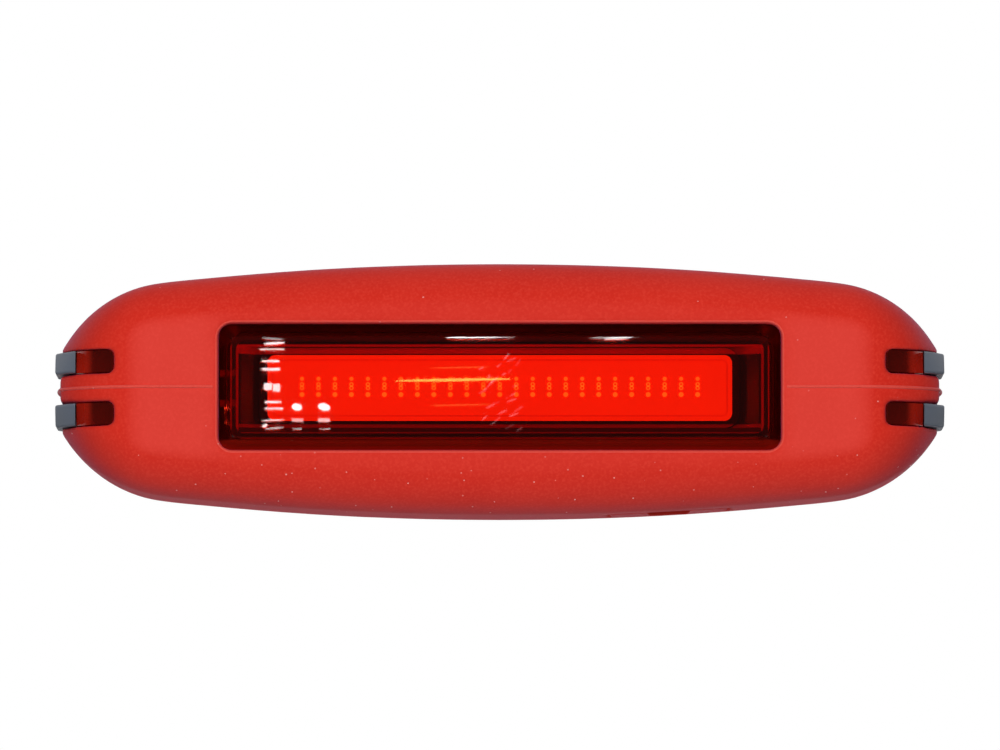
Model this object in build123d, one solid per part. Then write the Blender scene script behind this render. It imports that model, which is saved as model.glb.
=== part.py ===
from build123d import *
import os
from functools import cache
from math import asin, cos, sin, sqrt

# A rechargeable bicycle tail light in a silicone jacket, strapped to a seatpost.
# The origin is on the seatpost's axis. +X runs along the light, -Y is its lit front, +Z is up.

# Outer form of the jacket
LENGTH = 88.2
HEIGHT = 25.2
DEPTH = 20.0
CROWN_RADIUS = 305.0  # the long arcs along the top and the bottom, in front view
SHOULDER_REACH = 10.3  # where those arcs turn into the ends, from each end
END_HEIGHT = 8.0  # the blunt end, in front view
NOSE_REACH = 8.6  # where the flat front turns into the ends, in plan view
END_DEPTH = 9.1  # the blunt end, in plan view
EDGE_RADIUS = 5.0  # the long soft edges
EDGE_SHARE = 0.93  # at the narrow ends the soft edge is at most this share of the half section
END_SOFTNESS = 0.9
FLAT_SECTIONS = (0.25, 0.6, 0.85, 0.95, 1.0)  # cross-sections as shares of the flat front
NOSE_SECTIONS = 6  # cross-sections round each end

# Walls and clearances
JACKET_WALL = 1.5
SKIN_GAP = 0.1
SHELL_WALL = 1.5
SEAT_GAP = 0.1
RUNNING_GAP = 0.05
THROUGH = 1.0  # how far a cut runs past the face that it opens
ROOT = 1.0  # how far a form runs into the one that it grows from

# Seatpost and how the light sits on it
POST_RADIUS = 13.6
PAD_THICKNESS = 1.5
PAD_WIDTH = 21.0
CLAMP_HEIGHT = 12.0
SADDLE_FLOOR = 0.9
SADDLE_WIDTH = 24.0
SADDLE_HEIGHT = 14.0
SADDLE_CORNER = 2.0

# Window in the jacket and the lens block that fills it
WINDOW_LENGTH = 56.2
WINDOW_HEIGHT = 12.6
WINDOW_CORNER = 1.2
WINDOW_LIP = 0.35
LENS_SINK = 0.3
LENS_BEVEL = 1.2
LENS_CORNER = 0.4
LENS_FACE = 1.6
SEEN_MARGIN = 1.5  # from the edge of the lens block to the pocket behind it

# Slots at the ends with their ribs and tabs
SLOT_REACH = 5.5
SLOT_DEPTH = 13.5
FIN_HEIGHT = 2.2
FIN_SPACING = 5.25
FIN_STAND = 0.5
FIN_EDGE = 0.25
FIN_EDGE_LIMIT = 1 / 3  # the rounding is at most this share of the shortest edge it runs along
RIB_SINK = 0.25
SLOT_CORNER = 0.5

# Light strip
STRIP_LENGTH = 46.5
STRIP_HEIGHT = 6.6
STRIP_CORNER = 0.8
STRIP_THICKNESS = 0.6
DAM_WIDTH = 0.7
DAM_RISE = 0.1
DIE_COUNT = 25
DIE_PITCH = 1.65
DIE_LENGTH = 0.5
DIE_HEIGHT = 0.9
DIE_THICKNESS = 0.25
BOARD_MARGIN = 2.0
COB_BOARD_THICKNESS = 1.0
STRIP_SET_BACK = 3.0  # from the jacket's front face to the strip's face
BEZEL_WALL = 0.5
BEZEL_STAND = 1.0
TAPE_THICKNESS = 0.3
PLATE_THICKNESS = 1.2
PLATE_LENGTH = 70.0
PLATE_HEIGHT = 13.6

# Joint between the shells
PARTING_DEPTH = 7.0
SEAL_WIDTH = 0.7
SEAL_HEIGHT = 0.8

# Screws that hold the shells together
SCREW_X = 32.0
SCREW_Z = 4.5
SCREW_RADIUS = 0.9
SCREW_HEAD_RADIUS = 1.8
SCREW_HEAD_HEIGHT = 1.3
SCREW_BITE = 2.4
BOSS_RADIUS = 2.4
CROSS_LENGTH = 2.2
CROSS_WIDTH = 0.45
CROSS_DEPTH = 0.6

# Opening in the jacket's back
BACK_OPENING_LENGTH = 70.0
BACK_OPENING_HEIGHT = 15.2
BACK_OPENING_CORNER = 5.0

# Battery
BATTERY_LENGTH = 30.0
BATTERY_HEIGHT = 13.0
BATTERY_THICKNESS = 4.6
BATTERY_EDGE = 1.2
BATTERY_X = -7.0
FOAM_THICKNESS = 1.0
PROTECTION_WIDTH = 1.6

# Main board and what sits on it
MAIN_LENGTH = 56.6
MAIN_HEIGHT = 13.6
MAIN_THICKNESS = 1.0
MAIN_CORNER = 1.0
MAIN_GAP = 1.0  # behind the battery
BOARD_SCREW_X = 24.5
BOARD_SCREW_Z = 4.8
BOARD_SCREW_RADIUS = 0.6
BOARD_SCREW_HEAD = 1.1
BOARD_SCREW_HEAD_HEIGHT = 0.7
BOARD_SCREW_BITE = 2.2
STUB_RADIUS = 1.5
LEDGE_LENGTH = 1.0
LEDGE_HEIGHT = 4.0
LEAD_RADIUS = 0.4
LEAD_SPACING = 3.0
LEAD_BEND = 1.2
DRIVER_X = 15.5
DRIVER_Z = 4.2
DRIVER_LENGTH = 4.9
DRIVER_HEIGHT = 3.9
DRIVER_THICKNESS = 1.5
COIL_X = 21.2
COIL_Z = 1.2
COIL_RADIUS = 1.9
COIL_WAIST = 1.3
COIL_FLANGE = 0.6
COIL_THICKNESS = 2.4
CAPACITOR_X = 14.6
CAPACITOR_Z = -0.3
CAPACITOR_COUNT = 4
CAPACITOR_PITCH = 1.5
CAPACITOR_WIDTH = 0.8
CAPACITOR_HEIGHT = 1.6
CAPACITOR_THICKNESS = 0.8

# Charging port in the lower side
PORT_X = 17.0
SOCKET_WIDTH = 7.6
SOCKET_HEIGHT = 2.6
SOCKET_LENGTH = 5.4
SOCKET_WALL = 0.3
SOCKET_CORNER = 0.4
SOCKET_TONGUE = 0.6
SOCKET_REACH = 0.3  # into the opening in the wall
PORT_WIDTH = 10.6
PORT_HEIGHT = 5.2
PORT_CORNER = 1.4
FLAP_WIDTH = 12.4
FLAP_HEIGHT = 6.4
FLAP_CORNER = 1.8
FLAP_GAP = 0.3
FLAP_THICKNESS = 1.1
FLAP_PLUG_WIDTH = 8.6
FLAP_PLUG_HEIGHT = 3.0
FLAP_PLUG_DEPTH = 0.8
FLAP_LIP = 0.3
FLAP_LIP_DEPTH = 0.8
FLAP_LIP_WIDTH = 4.0

# Power button in the back
BUTTON_X = -22.6
BUTTON_RADIUS = 3.9
BUTTON_STAND = 1.0
BUTTON_EDGE = 0.4
BUTTON_DISH = 0.35
BUTTON_RIM = 0.8
FLANGE_RADIUS = 4.7
FLANGE_THICKNESS = 0.7
BUTTON_STEM_RADIUS = 1.5
BUTTON_SEAL_THICKNESS = 0.5
SWITCH_SIZE = 4.5
SWITCH_THICKNESS = 1.3
SWITCH_CORNER = 0.5
PLUNGER_RADIUS = 0.9
PLUNGER_STAND = 0.45
PLUNGER_ROOT = 0.5
PLUNGER_TRAVEL = 0.3
INDICATOR_X = -26.8
INDICATOR_Z = 4.8
INDICATOR_RADIUS = 0.8
LAMP_WIDTH = 0.8
LAMP_HEIGHT = 1.6
LAMP_THICKNESS = 0.8
LAMP_GAP = 0.3

# Strap
STRAP_THICKNESS = 2.0
STRAP_TAB_LENGTH = 9.0
STRAP_BEND = 3.0
STRAP_TAB_CORNER = 3.0
GRIP_RIBS = 3
GRIP_PITCH = 1.8
GRIP_RADIUS = 0.6
GRIP_LENGTH = 8.0
KNUCKLE_HEIGHT = 6.8
KNUCKLE_RADIUS = 2.2
TAPER_LENGTH = 4.5
PIN_RADIUS = 1.0
PIN_STAND = 4.5  # from the light's back face to the pin
LUG_HEIGHT = 2.4
LUG_GAP = 0.2
LUG_EDGE = 0.5
HOOK_STAND = 5.4  # from the light's back face to the hook's arm
HOOK_THICKNESS = 1.6
HOOK_WIDTH = 4.4
HOOK_TIP = 1.8
HOOK_BARB = 1.2
HOOK_EDGE = 0.4
HOOK_GAP = 0.15
HOOK_ROOM = 0.75  # between the strap and the hook's tip
STRAP_TAB_GAP = 0.4
LADDER_HOLES = 3
LADDER_STEP = 15.0  # degrees round the post

BACK_Y = -(POST_RADIUS + PAD_THICKNESS + SADDLE_FLOOR)
FRONT_Y = BACK_Y - DEPTH
MID_Y = BACK_Y - DEPTH / 2
SHELL_INSET = JACKET_WALL + SKIN_GAP
CAVITY_INSET = SHELL_INSET + SHELL_WALL
PARTING_Y = FRONT_Y + PARTING_DEPTH
INNER_BACK_Y = BACK_Y - CAVITY_INSET
INNER_FRONT_Y = FRONT_Y + CAVITY_INSET

STRIP_Y = FRONT_Y + STRIP_SET_BACK
COB_Y = STRIP_Y + STRIP_THICKNESS
TAPE_Y = COB_Y + COB_BOARD_THICKNESS
PLATE_Y = TAPE_Y + TAPE_THICKNESS
FOAM_Y = PLATE_Y + PLATE_THICKNESS
BATTERY_Y = FOAM_Y + FOAM_THICKNESS
MAIN_Y = BATTERY_Y + BATTERY_THICKNESS + MAIN_GAP
MAIN_BACK_Y = MAIN_Y + MAIN_THICKNESS

PORT_Y = MAIN_Y - SOCKET_HEIGHT / 2
STRAP_CENTRE = POST_RADIUS + STRAP_THICKNESS / 2
PIN_Y = BACK_Y + PIN_STAND
HOOK_Y = BACK_Y + HOOK_STAND
TAB_Y = BACK_Y + STRAP_TAB_GAP + STRAP_THICKNESS / 2


def arc_to_end(start_x, start_z, lean, end_x, end_z):
    """Radius of the arc that leaves a point square to a normal leaning by an angle and meets the end."""
    step_x = start_x - end_x
    step_z = start_z - end_z
    return (step_x**2 + step_z**2) / (2 * (sin(lean) * step_x + cos(lean) * step_z))


def half_height(x, inset):
    """Half the height of a cross-section, in front view, with the form drawn in by inset."""
    shoulder_x = LENGTH / 2 - SHOULDER_REACH
    lean = asin(shoulder_x / CROWN_RADIUS)
    crown_z = HEIGHT / 2 - CROWN_RADIUS
    shoulder_z = crown_z + CROWN_RADIUS * cos(lean)
    radius = arc_to_end(shoulder_x, shoulder_z, lean, LENGTH / 2, END_HEIGHT / 2)
    if x <= (CROWN_RADIUS - inset) * sin(lean):
        return crown_z + sqrt((CROWN_RADIUS - inset) ** 2 - x**2)
    centre_x = (CROWN_RADIUS - radius) * sin(lean)
    centre_z = crown_z + (CROWN_RADIUS - radius) * cos(lean)
    return centre_z + sqrt((radius - inset) ** 2 - (x - centre_x) ** 2)


def nose():
    """Start and radius of the arc that turns the flat front into the end, in plan view."""
    start = LENGTH / 2 - NOSE_REACH
    return start, arc_to_end(start, DEPTH / 2, 0, LENGTH / 2, END_DEPTH / 2)


def half_depth(x, inset):
    """Half the depth of a cross-section, in plan view, with the form drawn in by inset."""
    start, radius = nose()
    if x <= start:
        return DEPTH / 2 - inset
    return DEPTH / 2 - radius + sqrt((radius - inset) ** 2 - (x - start) ** 2)


def stations(inset):
    """Where the cross-sections stand along one half: wide apart in the middle, close round the nose."""
    start, radius = nose()
    flat = [share * start for share in FLAT_SECTIONS]
    turn = asin((LENGTH / 2 - inset - start) / (radius - inset)) / NOSE_SECTIONS
    return flat + [start + (radius - inset) * sin(turn * step) for step in range(1, NOSE_SECTIONS + 1)]


@cache
def pillow(inset):
    """The soft outer form of the light, drawn in by inset."""
    half = stations(inset)
    sections = []
    for x in [-x for x in reversed(half)] + half:
        height = half_height(abs(x), inset)
        depth = half_depth(abs(x), inset)
        radius = min(EDGE_RADIUS - inset, EDGE_SHARE * min(height, depth))
        plane = Plane(origin=(x, MID_Y, 0), x_dir=(0, 1, 0), z_dir=(1, 0, 0))
        sections.append(plane * RectangleRounded(2 * depth, 2 * height, radius))
    return loft(sections)


def slab(sketch, front, back):
    """A front-view sketch in X and Z, made solid between two depths."""
    plane = Plane(origin=(0, back, 0), x_dir=(1, 0, 0), z_dir=(0, -1, 0))
    return extrude(plane * sketch, amount=back - front)


def taper(front_sketch, front, back_sketch, back):
    """A solid that runs straight from one front-view sketch to another behind it."""
    sketches = ((back, back_sketch), (front, front_sketch))
    planes = [(Plane(origin=(0, y, 0), x_dir=(1, 0, 0), z_dir=(0, -1, 0)), sketch) for y, sketch in sketches]
    return loft([plane * sketch for plane, sketch in planes], ruled=True)


def plan(sketch, low, high):
    """A plan-view sketch in X and Y, made solid between two heights."""
    return extrude(Plane.XY.offset(low) * sketch, amount=high - low)


def block(x_range, y_range, z_range):
    """A rectangular block between two limits each way."""
    spans = [high - low for low, high in (x_range, y_range, z_range)]
    middle = [(high + low) / 2 for low, high in (x_range, y_range, z_range)]
    return Pos(*middle) * Box(*spans)


def rod(x, z, radius, front, back):
    """A round rod or hole along Y."""
    return slab(Pos(x, z) * Circle(radius), front, back)


def screw_places():
    return [(side * SCREW_X, level * SCREW_Z) for side in (-1, 1) for level in (-1, 1)]


def board_screw_places():
    return [(BOARD_SCREW_X, level * BOARD_SCREW_Z) for level in (-1, 1)]


def fin_places():
    return [(side, level * FIN_SPACING / 2) for side in (-1, 1) for level in (-1, 1)]


def end_bars(height, corner):
    """Bars through both ends, as high as a slot, a rib or a tab."""
    shape = RectangleRounded(LENGTH, height, corner)
    middle = LENGTH - SLOT_REACH
    bars = Part()
    for side, level in fin_places():
        bars += slab(Pos(side * middle, level) * shape, FRONT_Y - DEPTH, FRONT_Y + SLOT_DEPTH)
    return bars


def port_prism(width, height, corner, low, high):
    """A rounded bar up through the lower side at the charging port."""
    shape = Pos(PORT_X, PORT_Y) * RectangleRounded(width, height, corner)
    return plan(shape, low, high)


def port_floor():
    """Height of the jacket's lower face at the charging port."""
    return -half_height(PORT_X, 0)


def window_edges(jacket):
    """The outer edges of the window, on the jacket's front face."""
    near = jacket.edges().filter_by_position(Axis.Y, FRONT_Y - THROUGH, FRONT_Y + JACKET_WALL / 2)
    near = near.filter_by_position(Axis.X, -WINDOW_LENGTH / 2 - THROUGH, WINDOW_LENGTH / 2 + THROUGH)
    return near.filter_by_position(Axis.Z, -WINDOW_HEIGHT / 2 - THROUGH, WINDOW_HEIGHT / 2 + THROUGH)


def silicone_jacket():
    outer = pillow(0)
    ends = outer.faces().group_by(Axis.X)
    rims = ends[0].edges() + ends[-1].edges()
    window = RectangleRounded(WINDOW_LENGTH, WINDOW_HEIGHT, WINDOW_CORNER)
    back = RectangleRounded(BACK_OPENING_LENGTH, BACK_OPENING_HEIGHT, BACK_OPENING_CORNER)
    jacket = fillet(rims, END_SOFTNESS) - [
        pillow(JACKET_WALL),
        slab(window, FRONT_Y - THROUGH, FRONT_Y + JACKET_WALL + THROUGH),
        slab(back, BACK_Y - JACKET_WALL - THROUGH, BACK_Y + THROUGH),
        end_bars(FIN_HEIGHT + 2 * SEAT_GAP, SLOT_CORNER),
        port_prism(FLAP_WIDTH, FLAP_HEIGHT, FLAP_CORNER, -HEIGHT, -HEIGHT / 4),
    ]
    return fillet(window_edges(jacket), WINDOW_LIP)


def lens_cover():
    front = block((-LENGTH, LENGTH), (FRONT_Y - DEPTH, PARTING_Y), (-HEIGHT, HEIGHT))
    shell = (pillow(SHELL_INSET) & front) - pillow(CAVITY_INSET)
    length = WINDOW_LENGTH - 2 * SEAT_GAP
    height = WINDOW_HEIGHT - 2 * SEAT_GAP
    foot = RectangleRounded(length, height, WINDOW_CORNER - SEAT_GAP)
    face = RectangleRounded(length - 2 * LENS_BEVEL, height - 2 * LENS_BEVEL, LENS_CORNER)
    bevel_y = FRONT_Y + LENS_SINK + LENS_BEVEL
    raised = slab(foot, bevel_y, INNER_FRONT_Y) + taper(face, FRONT_Y + LENS_SINK, foot, bevel_y)
    pocket = RectangleRounded(length - 2 * SEEN_MARGIN, height - 2 * SEEN_MARGIN, STRIP_CORNER)
    reach = LENGTH / 2 - SHELL_INSET - SEAT_GAP
    bars = end_bars(FIN_HEIGHT, SLOT_CORNER) & block((-reach, reach), (-LENGTH, PARTING_Y), (-HEIGHT, HEIGHT))
    ribs = (bars & pillow(RIB_SINK)) - pillow(SHELL_INSET)
    bosses = [rod(x, z, BOSS_RADIUS, INNER_FRONT_Y - SHELL_WALL / 2, PLATE_Y) for x, z in screw_places()]
    bite = PLATE_Y - SCREW_BITE - SEAT_GAP
    holes = [rod(x, z, SCREW_RADIUS + RUNNING_GAP, bite, PLATE_Y) for x, z in screw_places()]
    holes.append(slab(pocket, FRONT_Y + LENS_SINK + LENS_FACE, PARTING_Y))
    return shell + [raised, ribs, *bosses] - holes


def tab_edges(tabs):
    """The long edges above and below the outer face of each tab."""
    core = pillow(FIN_EDGE - FIN_STAND)
    level = [edge for edge in tabs.edges() if abs(edge.tangent_at(0.5).Z) < 0.5]
    return [edge for edge in level if not core.is_inside(edge.center())]


def end_tabs():
    """The four grey tabs that stand out of the end slots and wrap round the lens ends."""
    inner = LENGTH / 2 - SHELL_INSET
    outside = block((-inner, inner), (-LENGTH, PARTING_Y), (-HEIGHT, HEIGHT))
    tabs = ((end_bars(FIN_HEIGHT, SLOT_CORNER) - outside) & pillow(-FIN_STAND)) - pillow(SHELL_INSET)
    edges = tab_edges(tabs)
    shortest = min(edge.length for edge in edges)
    return fillet(edges, min(FIN_EDGE, FIN_EDGE_LIMIT * shortest))


def strap_lugs():
    """Two lugs on the left of the saddle that hold the strap's pin."""
    edge = -STRAP_CENTRE - KNUCKLE_RADIUS
    inner = ROOT - SADDLE_WIDTH / 2
    foot = Pos((edge + inner) / 2, (BACK_Y + PIN_Y) / 2) * Rectangle(inner - edge, PIN_Y - BACK_Y)
    top = Pos((inner - STRAP_CENTRE) / 2, PIN_Y) * Rectangle(inner + STRAP_CENTRE, 2 * KNUCKLE_RADIUS)
    shape = foot + top + Pos(-STRAP_CENTRE, PIN_Y) * Circle(KNUCKLE_RADIUS)
    low = KNUCKLE_HEIGHT / 2 + LUG_GAP
    lug = plan(shape, low, low + LUG_HEIGHT)
    lug = fillet(lug.edges().group_by(Axis.Z)[-1], LUG_EDGE)
    lug -= plan(Pos(-STRAP_CENTRE, PIN_Y) * Circle(PIN_RADIUS + RUNNING_GAP), low, low + LUG_HEIGHT)
    return lug + mirror(lug, Plane.XY)


def strap_hook():
    """The hook on the right of the saddle that a hole of the strap slips over."""
    inner = SADDLE_WIDTH / 2 - ROOT
    outer = POST_RADIUS + STRAP_THICKNESS + HOOK_ROOM
    tip = (outer, outer + HOOK_TIP)
    width = (-HOOK_WIDTH / 2, HOOK_WIDTH / 2)
    low = HOOK_Y - HOOK_THICKNESS / 2
    arm = block((inner, tip[1]), (low, low + HOOK_THICKNESS), width)
    hook = arm + block(tip, (low - HOOK_BARB, low + HOOK_THICKNESS), width)
    return fillet(hook.edges().group_by(Axis.X)[-1], HOOK_EDGE)


def saddle():
    """Block on the back with the hollow that the seatpost's pad lies in."""
    hollow = POST_RADIUS + PAD_THICKNESS + RUNNING_GAP
    lips = -sqrt(hollow**2 - (SADDLE_WIDTH / 2) ** 2)
    shape = block(
        (-SADDLE_WIDTH / 2, SADDLE_WIDTH / 2),
        (BACK_Y - ROOT, lips),
        (-SADDLE_HEIGHT / 2, SADDLE_HEIGHT / 2),
    )
    shape = fillet(shape.edges().filter_by(Axis.Y), SADDLE_CORNER)
    return shape - plan(Circle(hollow), -HEIGHT, HEIGHT)


def seal_path(margin):
    """A ring round the joint between the shells, in the middle of their walls."""
    middle = SHELL_INSET + SHELL_WALL / 2
    half = SEAL_WIDTH / 2 + margin
    ring = pillow(middle - half) - pillow(middle + half)
    depth = (PARTING_Y, PARTING_Y + SEAL_HEIGHT + margin)
    return ring & block((-LENGTH, LENGTH), depth, (-HEIGHT, HEIGHT))


def board_ledge(back):
    """Ledge under the left end of the main board, from the board to the back wall."""
    edge = -MAIN_LENGTH / 2
    top = LEDGE_HEIGHT - MAIN_HEIGHT / 2
    return block((edge, edge + LEDGE_LENGTH), (MAIN_BACK_Y, back), (-MAIN_HEIGHT / 2, top))


def rear_housing():
    rear = block((-LENGTH, LENGTH), (PARTING_Y, 0), (-HEIGHT, HEIGHT))
    shell = (pillow(SHELL_INSET) & rear) - pillow(CAVITY_INSET)
    back = RectangleRounded(
        BACK_OPENING_LENGTH - 2 * SEAT_GAP,
        BACK_OPENING_HEIGHT - 2 * SEAT_GAP,
        BACK_OPENING_CORNER - SEAT_GAP,
    )
    inside = INNER_BACK_Y + SHELL_WALL / 2
    added = [end_tabs(), board_ledge(inside), saddle(), strap_lugs(), strap_hook()]
    added.append(slab(back, INNER_BACK_Y, BACK_Y))
    added += [rod(x, z, BOSS_RADIUS, FOAM_Y, inside) for x, z in screw_places()]
    added += [rod(x, z, STUB_RADIUS, MAIN_BACK_Y, inside) for x, z in board_screw_places()]
    head_y = BACK_Y - SCREW_HEAD_HEIGHT - SEAT_GAP
    bite = MAIN_BACK_Y + BOARD_SCREW_BITE + SEAT_GAP
    through = (INNER_BACK_Y - THROUGH, BACK_Y + THROUGH)
    holes = [
        rod(BUTTON_X, 0, BUTTON_RADIUS + RUNNING_GAP, *through),
        rod(INDICATOR_X, INDICATOR_Z, INDICATOR_RADIUS + RUNNING_GAP, *through),
        port_prism(PORT_WIDTH, PORT_HEIGHT, PORT_CORNER, -HEIGHT, -HEIGHT / 4),
        seal_path(RUNNING_GAP),
    ]
    for x, z in screw_places():
        holes.append(rod(x, z, SCREW_RADIUS + SEAT_GAP, FRONT_Y, BACK_Y + THROUGH))
        holes.append(rod(x, z, SCREW_HEAD_RADIUS + SEAT_GAP, head_y, BACK_Y + THROUGH))
    for x, z in board_screw_places():
        holes.append(rod(x, z, BOARD_SCREW_RADIUS + RUNNING_GAP, MAIN_BACK_Y, bite))
    return shell + added - holes


def seal_ring():
    return seal_path(0)


def strip_shape(grow):
    return RectangleRounded(STRIP_LENGTH + 2 * grow, STRIP_HEIGHT + 2 * grow, STRIP_CORNER + grow)


def led_dies():
    """One row of chips on the board, under the strip."""
    dies = []
    for place in range(DIE_COUNT):
        x = (place - (DIE_COUNT - 1) / 2) * DIE_PITCH
        dies.append(slab(Pos(x, 0) * Rectangle(DIE_LENGTH, DIE_HEIGHT), COB_Y - DIE_THICKNESS, COB_Y))
    return dies


def cob_phosphor():
    strip = slab(strip_shape(0), STRIP_Y, COB_Y)
    return strip - led_dies()


def cob_dam():
    return slab(strip_shape(DAM_WIDTH) - strip_shape(0), STRIP_Y - DAM_RISE, COB_Y)


def cob_size(margin):
    """Length and height of the board under the strip, or of what lies round it."""
    return STRIP_LENGTH + 2 * (DAM_WIDTH + BOARD_MARGIN + margin), STRIP_HEIGHT + 2 * (DAM_WIDTH + margin)


def cob_board():
    length, height = cob_size(0)
    return slab(RectangleRounded(length, height, STRIP_CORNER), COB_Y, TAPE_Y)


def bezel_frame():
    """Frame round the strip, its inner walls leaning outwards to the lens."""
    length = WINDOW_LENGTH - 2 * (SEAT_GAP + SEEN_MARGIN + SEAT_GAP)
    height = WINDOW_HEIGHT - 2 * (SEAT_GAP + SEEN_MARGIN + SEAT_GAP)
    frame = slab(RectangleRounded(length, height, STRIP_CORNER), STRIP_Y - BEZEL_STAND, COB_Y)
    foot = strip_shape(DAM_WIDTH + SEAT_GAP)
    mouth = RectangleRounded(length - 2 * BEZEL_WALL, height - 2 * BEZEL_WALL, STRIP_CORNER)
    return frame - taper(mouth, STRIP_Y - BEZEL_STAND, foot, COB_Y)


def thermal_tape():
    length, height = cob_size(0)
    return slab(Rectangle(length, height), TAPE_Y, PLATE_Y)


def lead_notch():
    return -cob_size(0)[0] / 2 - LEAD_BEND - LEAD_RADIUS


def heat_plate():
    plate = slab(RectangleRounded(PLATE_LENGTH, PLATE_HEIGHT, 2 * STRIP_CORNER), PLATE_Y, FOAM_Y)
    holes = [rod(x, z, SCREW_RADIUS + SEAT_GAP, PLATE_Y, FOAM_Y) for x, z in screw_places()]
    notch = SlotOverall(LEAD_SPACING + 4 * LEAD_RADIUS, 3 * LEAD_RADIUS, rotation=90)
    holes.append(slab(Pos(lead_notch(), 0) * notch, PLATE_Y, FOAM_Y))
    return plate - holes


def housing_screws():
    seat = BACK_Y - SCREW_HEAD_HEIGHT - SEAT_GAP
    screws = []
    for x, z in screw_places():
        screw = rod(x, z, SCREW_RADIUS, PLATE_Y - SCREW_BITE, seat)
        screw += rod(x, z, SCREW_HEAD_RADIUS, seat, seat + SCREW_HEAD_HEIGHT)
        for turn in (0, 90):
            arm = Pos(x, z) * Rot(0, 0, turn) * Rectangle(CROSS_LENGTH, CROSS_WIDTH)
            top = seat + SCREW_HEAD_HEIGHT
            screw -= slab(arm, top - CROSS_DEPTH, top + THROUGH)
        screws.append(screw)
    return screws


def battery():
    cell = slab(
        Pos(BATTERY_X, 0) * RectangleRounded(BATTERY_LENGTH, BATTERY_HEIGHT, BATTERY_EDGE),
        BATTERY_Y,
        BATTERY_Y + BATTERY_THICKNESS,
    )
    flat = cell.faces().group_by(Axis.Y)
    return fillet(flat[0].edges() + flat[-1].edges(), BATTERY_EDGE)


def battery_foam():
    shape = Rectangle(BATTERY_LENGTH - 2 * BATTERY_EDGE, BATTERY_HEIGHT - 2 * BATTERY_EDGE)
    return slab(Pos(BATTERY_X, 0) * shape, FOAM_Y, BATTERY_Y)


def battery_end():
    return BATTERY_X + BATTERY_LENGTH / 2


def protection_board():
    low = battery_end()
    return block(
        (low, low + PROTECTION_WIDTH),
        (BATTERY_Y + BATTERY_EDGE, BATTERY_Y + BATTERY_THICKNESS - BATTERY_EDGE),
        (-BATTERY_HEIGHT / 2 + BATTERY_EDGE, BATTERY_HEIGHT / 2 - BATTERY_EDGE),
    )


def lead_pair(points):
    """Two round wires side by side along the same route in plan view."""
    wires = []
    for level in (-LEAD_SPACING / 2, LEAD_SPACING / 2):
        route = FilletPolyline(*[(x, y, level) for x, y in points], radius=LEAD_BEND)
        section = Plane(origin=route @ 0, z_dir=route % 0) * Circle(LEAD_RADIUS)
        wires.append(sweep(section, path=route))
    return wires


def battery_leads():
    start = battery_end() + PROTECTION_WIDTH
    y = BATTERY_Y + BATTERY_THICKNESS / 2
    bend = start + LEAD_BEND + LEAD_RADIUS
    return lead_pair([(start, y), (bend, y), (bend, MAIN_Y)])


def led_leads():
    start = -cob_size(0)[0] / 2
    y = COB_Y + COB_BOARD_THICKNESS / 2
    return lead_pair([(start, y), (lead_notch(), y), (lead_notch(), MAIN_Y)])


def main_board():
    board = slab(RectangleRounded(MAIN_LENGTH, MAIN_HEIGHT, MAIN_CORNER), MAIN_Y, MAIN_BACK_Y)
    hole = BOARD_SCREW_RADIUS + SEAT_GAP
    return board - [rod(x, z, hole, MAIN_Y, MAIN_BACK_Y) for x, z in board_screw_places()]


def board_screws():
    screws = []
    for x, z in board_screw_places():
        screw = rod(x, z, BOARD_SCREW_HEAD, MAIN_Y - BOARD_SCREW_HEAD_HEIGHT, MAIN_Y)
        screws.append(screw + rod(x, z, BOARD_SCREW_RADIUS, MAIN_Y, MAIN_BACK_Y + BOARD_SCREW_BITE))
    return screws


def chip(x, z, length, height, thickness):
    """A block soldered on the front of the main board."""
    return slab(Pos(x, z) * Rectangle(length, height), MAIN_Y - thickness, MAIN_Y)


def led_driver():
    return chip(DRIVER_X, DRIVER_Z, DRIVER_LENGTH, DRIVER_HEIGHT, DRIVER_THICKNESS)


def inductor():
    """A drum of ferrite: two flanges on a waist."""
    front = MAIN_Y - COIL_THICKNESS
    drum = rod(COIL_X, COIL_Z, COIL_WAIST, front, MAIN_Y)
    drum += rod(COIL_X, COIL_Z, COIL_RADIUS, front, front + COIL_FLANGE)
    return drum + rod(COIL_X, COIL_Z, COIL_RADIUS, MAIN_Y - COIL_FLANGE, MAIN_Y)


def capacitors():
    size = (CAPACITOR_WIDTH, CAPACITOR_HEIGHT, CAPACITOR_THICKNESS)
    places = [CAPACITOR_X + CAPACITOR_PITCH * place for place in range(CAPACITOR_COUNT)]
    return [chip(x, CAPACITOR_Z, *size) for x in places]


def charge_led():
    lamp = Pos(INDICATOR_X, INDICATOR_Z) * Rectangle(LAMP_WIDTH, LAMP_HEIGHT)
    return slab(lamp, MAIN_BACK_Y, MAIN_BACK_Y + LAMP_THICKNESS)


def indicator_window():
    front = MAIN_BACK_Y + LAMP_THICKNESS + LAMP_GAP
    return rod(INDICATOR_X, INDICATOR_Z, INDICATOR_RADIUS, front, BACK_Y)


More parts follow.
